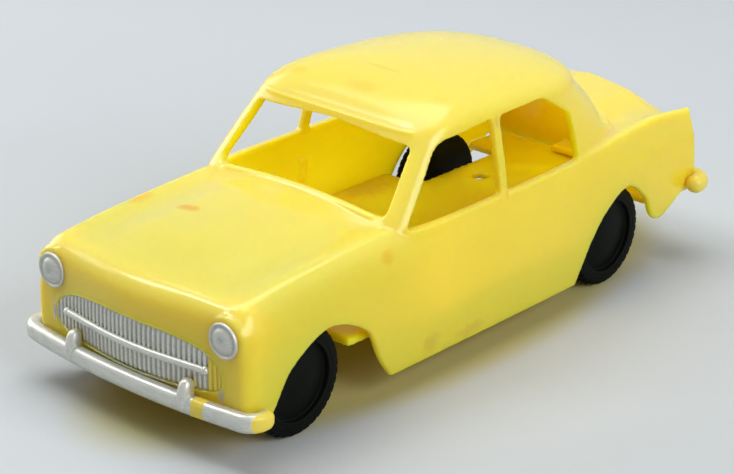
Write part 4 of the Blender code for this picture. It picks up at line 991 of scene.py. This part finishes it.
blotch, into, out = new_group("soft_blotch", [("Place", "NodeSocketVector", (0, 0, 0)),
                                              ("Stretch", "NodeSocketVector", (1, 1, 1)),
                                              ("Size", "NodeSocketFloat", 0.001),
                                              ("Ragged", "NodeSocketFloat", 0.8)], ["Mask"])
away = vectors(blotch, "SUBTRACT", own_place(blotch), into.outputs["Place"])
away = vectors(blotch, "LENGTH", vectors(blotch, "MULTIPLY", away, into.outputs["Stretch"]))
wobble = maths(blotch, "SUBTRACT", noise(blotch, own_place(blotch), 900, 3, 0.6), 0.5)
wobble = maths(blotch, "MULTIPLY", wobble, into.outputs["Ragged"])
reach = maths(blotch, "ADD", maths(blotch, "DIVIDE", away, into.outputs["Size"]), wobble)
connect(out, Mask=ramp(blotch, reach, 1.0, 0.25))

scuffs, _, out = new_group("fine_scuffs", [], ["Mask"])
place = own_place(scuffs)
lines = ramp(scuffs, noise(scuffs, place, 1.0, 2, 0.5, (260, 2400, 900)), 0.68, 0.76)
patches = ramp(scuffs, noise(scuffs, place, 110, 2), 0.50, 0.68)
connect(out, Mask=maths(scuffs, "MULTIPLY", lines, patches))

cover, into, out = new_group("brushed_cover", [("Paint", "NodeSocketFloat", 1.0)], ["Mask", "Streak"])
place = own_place(cover)
edge = maths(cover, "MULTIPLY", maths(cover, "SUBTRACT", noise(cover, place, 1500, 4, 0.65), 0.5), 0.9)
connect(out, Mask=ramp(cover, maths(cover, "ADD", into.outputs["Paint"], edge), 0.42, 0.58),
        Streak=noise(cover, place, 1.0, 3, 0.6, (500, 3000, 3000)))

CABIN_MIDDLE = (0, 0.004, 0.018)
# Masks for painted light: a brighter yellow on faces that look into the cabin, a paler sheen on faces that
# look up.
open_faces, _, out = new_group("inner_and_open_faces", [], ["Inner", "Open"])
normal = add_node(open_faces, "ShaderNodeTexCoord").outputs["Normal"]
to_middle = vectors(open_faces, "SUBTRACT", CABIN_MIDDLE, own_place(open_faces))
to_middle = vectors(open_faces, "NORMALIZE", to_middle)
upward = add_node(open_faces, "ShaderNodeSeparateXYZ", None, Vector=normal).outputs["Z"]
connect(out, Inner=ramp(open_faces, vectors(open_faces, "DOT_PRODUCT", normal, to_middle), 0.0, 0.45),
        Open=ramp(open_faces, upward, 0.1, 0.8))
print("groups:", sorted(g.name for g in bpy.data.node_groups))

# %% [markdown]
# ## Yellow plastic
#
# The car is moulded in a yellow that light goes through, so its colour comes from subsurface scattering:
# light that enters the roof leaves again inside, which is why the empty cabin glows. Besides that, faces that
# look up are painted a paler yellow, a painted sheen, and the inner faces a brighter yellow, painted light in
# the cabin. The marks sit where the real car has them: an orange stain on the bonnet, fainter ones on the
# wings and the roof, rub marks by the door pillar and along the sill.

# %% Yellow finishes
def new_finish(name):
    made = bpy.data.materials.new(name)
    made.use_nodes = True
    return made, made.node_tree, made.node_tree.nodes["Principled BSDF"]


def wear(pieces, finish):
    """Gives pieces their finish in place of what they had."""
    for piece in pieces:
        piece.data.materials.clear()
        piece.data.materials.append(finish)


def use_group(tree, group, **links):
    return add_node(tree, "ShaderNodeGroup", {"node_tree": group}, **links)


def tint(tree, mask, strength, below, colour):
    """Lays a colour over another one where a mask says so."""
    share = maths(tree, "MULTIPLY", mask, strength)
    below, colour = (c if isinstance(c, bpy.types.NodeSocket) else (*c, 1.0) for c in (below, colour))
    return add_node(tree, "ShaderNodeMix", {"data_type": "RGBA"}, i0=share, i6=below, i7=colour).outputs[2]


def raised(tree, base, mask, strength):
    """A value, raised where a mask says so."""
    return maths(tree, "ADD", maths(tree, "MULTIPLY", mask, strength), base)


def bump(tree, height, distance, strength):
    return add_node(tree, "ShaderNodeBump", None, Height=height, Distance=distance,
                    Strength=strength).outputs["Normal"]


YELLOW, DEEP_YELLOW = (0.99, 0.665, 0.036), (0.97, 0.61, 0.018)
# A paler yellow gives upward faces a painted sheen; a brighter one gives the inner faces painted light.
PAINTED_SHEEN_YELLOW, PAINTED_CABIN_LIGHT_YELLOW = (0.99, 0.70, 0.105), (0.99, 0.78, 0.010)
ORANGE, BROWN, GREY = (0.90, 0.42, 0.006), (0.34, 0.22, 0.05), (0.20, 0.19, 0.14)
SMEARED_SILVER = (0.48, 0.48, 0.43)
# Each stain has a place, a stretch along each axis, a size, a strength and a colour.
STAINS = [
    ((-0.0072, -0.0330, 0.0235), (1.0, 1.9, 1.0), 0.0026, 0.95, ORANGE),
    ((-0.0160, -0.0336, 0.0228), (1.4, 0.8, 1.0), 0.0023, 0.60, ORANGE),
    ((0.0191, -0.0225, 0.0207), (1.0, 1.0, 1.3), 0.0017, 0.55, ORANGE),
    ((-0.0105, -0.0078, 0.0357), (0.8, 1.4, 1.0), 0.0017, 0.30, ORANGE),
    ((0.0010, -0.0077, 0.0361), (0.6, 1.6, 1.0), 0.0024, 0.25, ORANGE),
    ((0.0125, -0.0048, 0.0359), (1.0, 1.0, 1.0), 0.0018, 0.18, ORANGE),
    ((0.0005, -0.0027, 0.0372), (0.35, 3.2, 1.0), 0.0018, 0.18, BROWN),
    ((0.0168, 0.0022, 0.0324), (1.0, 2.2, 1.0), 0.0011, 0.35, GREY),
    ((0.0190, 0.0022, 0.0228), (1.0, 2.4, 0.8), 0.0012, 0.22, GREY),
    ((0.0196, -0.0140, 0.0056), (1.0, 0.8, 1.0), 0.0020, 0.25, BROWN),
    ((0.0196, -0.0054, 0.0048), (1.0, 0.5, 1.6), 0.0022, 0.25, BROWN),
    ((0.0000, -0.0503, 0.0079), (0.075, 0.3, 1.0), 0.0011, 0.85, SMEARED_SILVER),
    ((0.0132, -0.0497, 0.0103), (0.8, 1.0, 0.8), 0.0010, 0.60, BROWN),
    ((-0.0088, -0.0510, 0.0080), (1.0, 1.0, 1.0), 0.0010, 0.45, BROWN),
    ((-0.0157, -0.0495, 0.0113), (1.5, 0.6, 0.45), 0.0010, 0.85, SMEARED_SILVER),
    ((0.0154, -0.0495, 0.0092), (1.3, 0.6, 0.7), 0.0010, 0.60, SMEARED_SILVER),
]


def yellow_plastic(name, base, deep, painted_sheen, stains, gloss):
    made, tree, shader = new_finish(name)
    uneven = use_group(tree, skin)
    colour = tint(tree, uneven.outputs["Tone"], 0.22, base, deep)
    # Upward faces get a painted sheen, and faces that look into the cabin a brighter yellow, painted light.
    facing = use_group(tree, open_faces)
    colour = tint(tree, facing.outputs["Open"], painted_sheen, colour, PAINTED_SHEEN_YELLOW)
    colour = tint(tree, facing.outputs["Inner"], 0.9, colour, PAINTED_CABIN_LIGHT_YELLOW)
    for spot, stretch, size, strength, dark in stains:
        mask = use_group(tree, blotch, Place=spot, Stretch=stretch, Size=size)
        colour = tint(tree, mask.outputs["Mask"], strength, colour, dark)
    rubbed = use_group(tree, scuffs).outputs["Mask"]
    colour = tint(tree, rubbed, 0.10, colour, BROWN)
    rough = raised(tree, raised(tree, gloss, uneven.outputs["Haze"], 0.04), rubbed, 0.15)
    connect(shader, Base_Color=colour, Roughness=rough, IOR=1.49, Subsurface_Weight=1.0,
            Subsurface_Radius=(1.0, 0.75, 0.10), Subsurface_Scale=0.0045,
            Normal=bump(tree, uneven.outputs["Grain"], 0.00002, 0.35))
    return made


body_yellow = yellow_plastic("yellow_moulding", YELLOW, DEEP_YELLOW, 0.9, STAINS, 0.17)
# A brown patch darkens the floor plate near the far side.
floor_dark_patch = [((-0.0160, 0.0125, 0.0107), (1.0, 0.7, 1.0), 0.0045, 0.35, BROWN)]
# The floor plate's base is the brighter cabin yellow: painted light inside the cabin.
base_yellow = yellow_plastic("floor_plate_yellow", PAINTED_CABIN_LIGHT_YELLOW, (0.97, 0.74, 0.008), 0.0, floor_dark_patch, 0.28)
wear([shell], body_yellow)
wear([plate], base_yellow)
print("stains on the body:", len(STAINS))

# %% [markdown]
# ## Silver paint, black plastic and steel
#
# The silver is aluminium paint put on by hand: fairly bright, a little streaky, darker in the grooves, with
# painted shade on the lower side of the bars, and ragged where it stops. Under it lies the same yellow
# plastic, so one shader passes from yellow to silver by the paint's cover. The wheels are plain black with a
# trace of dust, and the axles are drawn steel rod.

# %% Silver, black and steel finishes
SILVER, DULL_SILVER, DIRT_AND_SHADE = (0.66, 0.66, 0.60), (0.52, 0.52, 0.46), (0.12, 0.11, 0.08)
UNDER_PAINT, DEEP_UNDER_PAINT = (0.85, 0.69, 0.09), (0.80, 0.62, 0.05)
BLACK, DUST, SCUFFED_BLACK = (0.003, 0.004, 0.003), (0.030, 0.029, 0.024), (0.06, 0.06, 0.055)
STEEL, DULL_STEEL = (0.58, 0.58, 0.59), (0.38, 0.37, 0.36)


def silver_paint():
    made, tree, shader = new_finish("silver_over_yellow")
    paint = add_node(tree, "ShaderNodeAttribute", {"attribute_name": "paint"}).outputs["Fac"]
    grime_and_shade = add_node(tree, "ShaderNodeAttribute", {"attribute_name": "grime_and_shade"}).outputs["Fac"]
    brushed = use_group(tree, cover, Paint=paint).outputs
    uneven = use_group(tree, skin).outputs
    metal = tint(tree, ramp(tree, brushed["Streak"], 0.4, 0.7), 0.6, SILVER, DULL_SILVER)
    # The silver turns darker deep in the grooves and, as painted shade, on the lower sides of the bars.
    metal = tint(tree, ramp(tree, grime_and_shade, 0.0, 1.0), 0.30, metal, DIRT_AND_SHADE)
    plain = tint(tree, uneven["Tone"], 0.35, UNDER_PAINT, DEEP_UNDER_PAINT)
    rough = raised(tree, raised(tree, 0.32, uneven["Haze"], 0.12), grime_and_shade, 0.2)
    height = maths(tree, "ADD", brushed["Streak"], brushed["Mask"])
    connect(shader, Base_Color=tint(tree, brushed["Mask"], 1.0, plain, metal), Roughness=rough,
            Metallic=maths(tree, "MULTIPLY", brushed["Mask"], 0.55), Normal=bump(tree, height, 0.00004, 0.5))
    return made


def black_plastic():
    made, tree, shader = new_finish("black_wheel_plastic")
    uneven = use_group(tree, skin).outputs
    dust = maths(tree, "MULTIPLY", uneven["Haze"], uneven["Tone"])
    colour = tint(tree, dust, 0.15, BLACK, DUST)
    colour = tint(tree, use_group(tree, scuffs).outputs["Mask"], 0.2, colour, SCUFFED_BLACK)
    connect(shader, Base_Color=colour, Roughness=raised(tree, 0.38, uneven["Haze"], 0.15),
            Specular_IOR_Level=0.05, Normal=bump(tree, uneven["Grain"], 0.00003, 0.4))
    return made


def drawn_steel():
    made, tree, shader = new_finish("drawn_steel")
    streak = noise(tree, own_place(tree), 1.0, 3, 0.6, (150, 4000, 4000))
    connect(shader, Base_Color=tint(tree, streak, 0.5, STEEL, DULL_STEEL), Metallic=1.0,
            Roughness=raised(tree, 0.22, streak, 0.25), Normal=bump(tree, streak, 0.00002, 0.4))
    return made


wear([piece for piece in bpy.data.objects if piece.type == "MESH" and "paint" in piece.data.attributes],
     silver_paint())
wear(wheels, black_plastic())
wear(axles, drawn_steel())
print("finishes:", sorted(m.name for m in bpy.data.materials if m.users))

# %% [markdown]
# ## Table
#
# The car stands on a pale blue-grey cloth that fills the picture. Two crossed waves make its weave. Under the
# car it carries a painted shadow, dark and yellow, for the light that comes through the plastic. Far from the
# car the lamps no longer reach it, so there the camera sees a plain pale backdrop instead.

# %% Cloth
CLOTH_REACH, THREADS = 1.6, 520.0
CLOTH, CLOTH_MOTTLE, THREAD = (0.540, 0.573, 0.592), (0.512, 0.545, 0.560), (0.46, 0.50, 0.53)
PAINTED_SHADOW_YELLOW, FOOTPRINT_HALF_X, FOOTPRINT_HALF_Y = (0.50, 0.45, 0.10), 0.024, 0.058
BACKDROP, BACKDROP_START, BACKDROP_FULL = (0.63, 0.665, 0.685, 1.0), 0.25, 0.75


def looked_at(tree):
    """1 for rays that show the background itself, to the camera or in a reflection."""
    rays = add_node(tree, "ShaderNodeLightPath").outputs
    mirrored = maths(tree, "MAXIMUM", rays["Is Glossy Ray"], rays["Is Transmission Ray"])
    return maths(tree, "MAXIMUM", rays["Is Camera Ray"], mirrored)


def pass_over(tree, output, share, near, far):
    """Passes from one shader to another on its way out of a material or a world."""
    mixed = add_node(tree, "ShaderNodeMixShader", None, i0=share, i1=near, i2=far)
    connect(tree.nodes[output], Surface=mixed.outputs[0])


def pale_cloth():
    made, tree, shader = new_finish("pale_blue_grey_cloth")
    place = own_place(tree)
    weave = [add_node(tree, "ShaderNodeTexWave", {"bands_direction": axis}, Vector=place, Scale=THREADS,
                      Distortion=1.5, Detail=2.0).outputs["Fac"] for axis in ("X", "Y")]
    threads = maths(tree, "MULTIPLY", *weave)
    colour = tint(tree, ramp(tree, noise(tree, place, 14, 3), 0.3, 0.7), 0.35, CLOTH, CLOTH_MOTTLE)
    colour = tint(tree, threads, 0.05, colour, THREAD)
    # Under the car the cloth gets a painted shadow, dark and yellow.
    footprint = vectors(tree, "MULTIPLY", place, (1 / FOOTPRINT_HALF_X, 1 / FOOTPRINT_HALF_Y, 0))
    painted_shadow = ramp(tree, vectors(tree, "LENGTH", footprint), 1.06, 0.82)
    colour = tint(tree, painted_shadow, 0.80, colour, PAINTED_SHADOW_YELLOW)
    connect(shader, Base_Color=colour, Roughness=0.9, Specular_IOR_Level=0.15,
            Normal=bump(tree, threads, 0.0001, 0.12))
    far = ramp(tree, vectors(tree, "LENGTH", place), BACKDROP_START, BACKDROP_FULL)
    pale = add_node(tree, "ShaderNodeEmission", None, Color=BACKDROP)
    pass_over(tree, "Material Output", maths(tree, "MULTIPLY", looked_at(tree), far),
              shader.outputs["BSDF"], pale.outputs["Emission"])
    return made


corners = [(x * CLOTH_REACH, y * CLOTH_REACH, 0) for x, y in ((-1, -1), (1, -1), (1, 1), (-1, 1))]
floor_mesh = bpy.data.meshes.new("pale_cloth")
floor_mesh.from_pydata(corners, [], [(0, 1, 2, 3)])
cloth = bpy.data.objects.new("pale_cloth", floor_mesh)
scene.collection.objects.link(cloth)
wear([cloth], pale_cloth())
print("cloth:", 2 * CLOTH_REACH, "m wide")

# %% [markdown]
# ## Light
#
# A broad soft light hangs over the car, so that the roof and the bonnet are bright and the shadow stays close
# under it. One from the camera's side lights the doors, and one from the far side shines through the windows.
# A narrow lamp high up on the far side of the nose draws the bright line along the bonnet's edge, and a faint
# yellow one under the boot lid adds what shines through it. The pale room fills the shadows.

# %% Lights and room
def soft_light(name, size, power, place, target, colour=(1, 1, 1)):
    lamp = bpy.data.lights.new(name, "AREA")
    lamp.shape, lamp.size, lamp.size_y = "RECTANGLE", size[0], size[1]
    lamp.energy, lamp.color = power, colour
    made = bpy.data.objects.new(name, lamp)
    scene.collection.objects.link(made)
    aim = (Vector(place) - Vector(target)).to_track_quat("Z", "Y").to_matrix().to_4x4()
    made.matrix_world = Matrix.Translation(place) @ aim
    return made


BROAD = (0.50, 0.40)
soft_light("overhead_light", BROAD, 1.92, (-0.10, 0.08, 0.55), (0, 0, 0.02))
soft_light("camera_side_light", BROAD, 3.2, (0.60, -0.02, 0.36), (0, 0, 0.015))
soft_light("far_side_light", BROAD, 1.7, (-0.60, -0.05, 0.22), (0, 0, 0.02))
soft_light("nose_lamp", (0.06, 0.30), 0.9, (-0.30, -0.17, 0.50), (0, -0.03, 0.02))
glow = soft_light("boot_glow", (0.022, 0.007), 0.0008, (0, 0.0425, 0.0225), (0, 0.039, 0), (1.0, 1.0, 0.2))
glow.visible_camera = glow.visible_glossy = False
room = bpy.data.worlds.new("pale_room")
room.use_nodes = True
ambient = room.node_tree.nodes["Background"]
connect(ambient, Color=(0.92, 0.96, 1.0, 1.0), Strength=0.14)
pale = add_node(room.node_tree, "ShaderNodeBackground", None, Color=BACKDROP)
pass_over(room.node_tree, "World Output", looked_at(room.node_tree), ambient.outputs[0], pale.outputs[0])
scene.world = room

# %% [markdown]
# ## Camera
#
# The camera's place was found by matching points of the car with the photograph: it looks at the left front
# corner from a little above, through a long lens. Its three axes are written as directions, so it can be set
# without angles. Light bounces many times between the inner faces of the cabin, so the bounces are raised.

# %% Camera and picture settings
CAMERA_PLACE, SENSOR_MM, LENS_MM = (0.196916, -0.229586, 0.138685), 36.0, 112.11
TO_RIGHT = (0.747548, 0.664026, 0.015529)
TO_TOP = (-0.268830, 0.281099, 0.921257)
TO_BACK = (0.607373, -0.692859, 0.388645)
camera_data = bpy.data.cameras.new("photo_camera")
camera_data.sensor_width, camera_data.lens = SENSOR_MM, LENS_MM
camera_data.clip_start, camera_data.clip_end = 0.01, 10.0
camera = bpy.data.objects.new("photo_camera", camera_data)
scene.collection.objects.link(camera)
turn = Matrix((TO_RIGHT, TO_TOP, TO_BACK)).transposed().to_4x4()
camera.matrix_world = Matrix.Translation(CAMERA_PLACE) @ turn
scene.camera = camera
scene.view_settings.view_transform = "Standard"
scene.cycles.diffuse_bounces = 12
scene.cycles.max_bounces = 24
print("camera at", [round(v, 3) for v in camera.location])
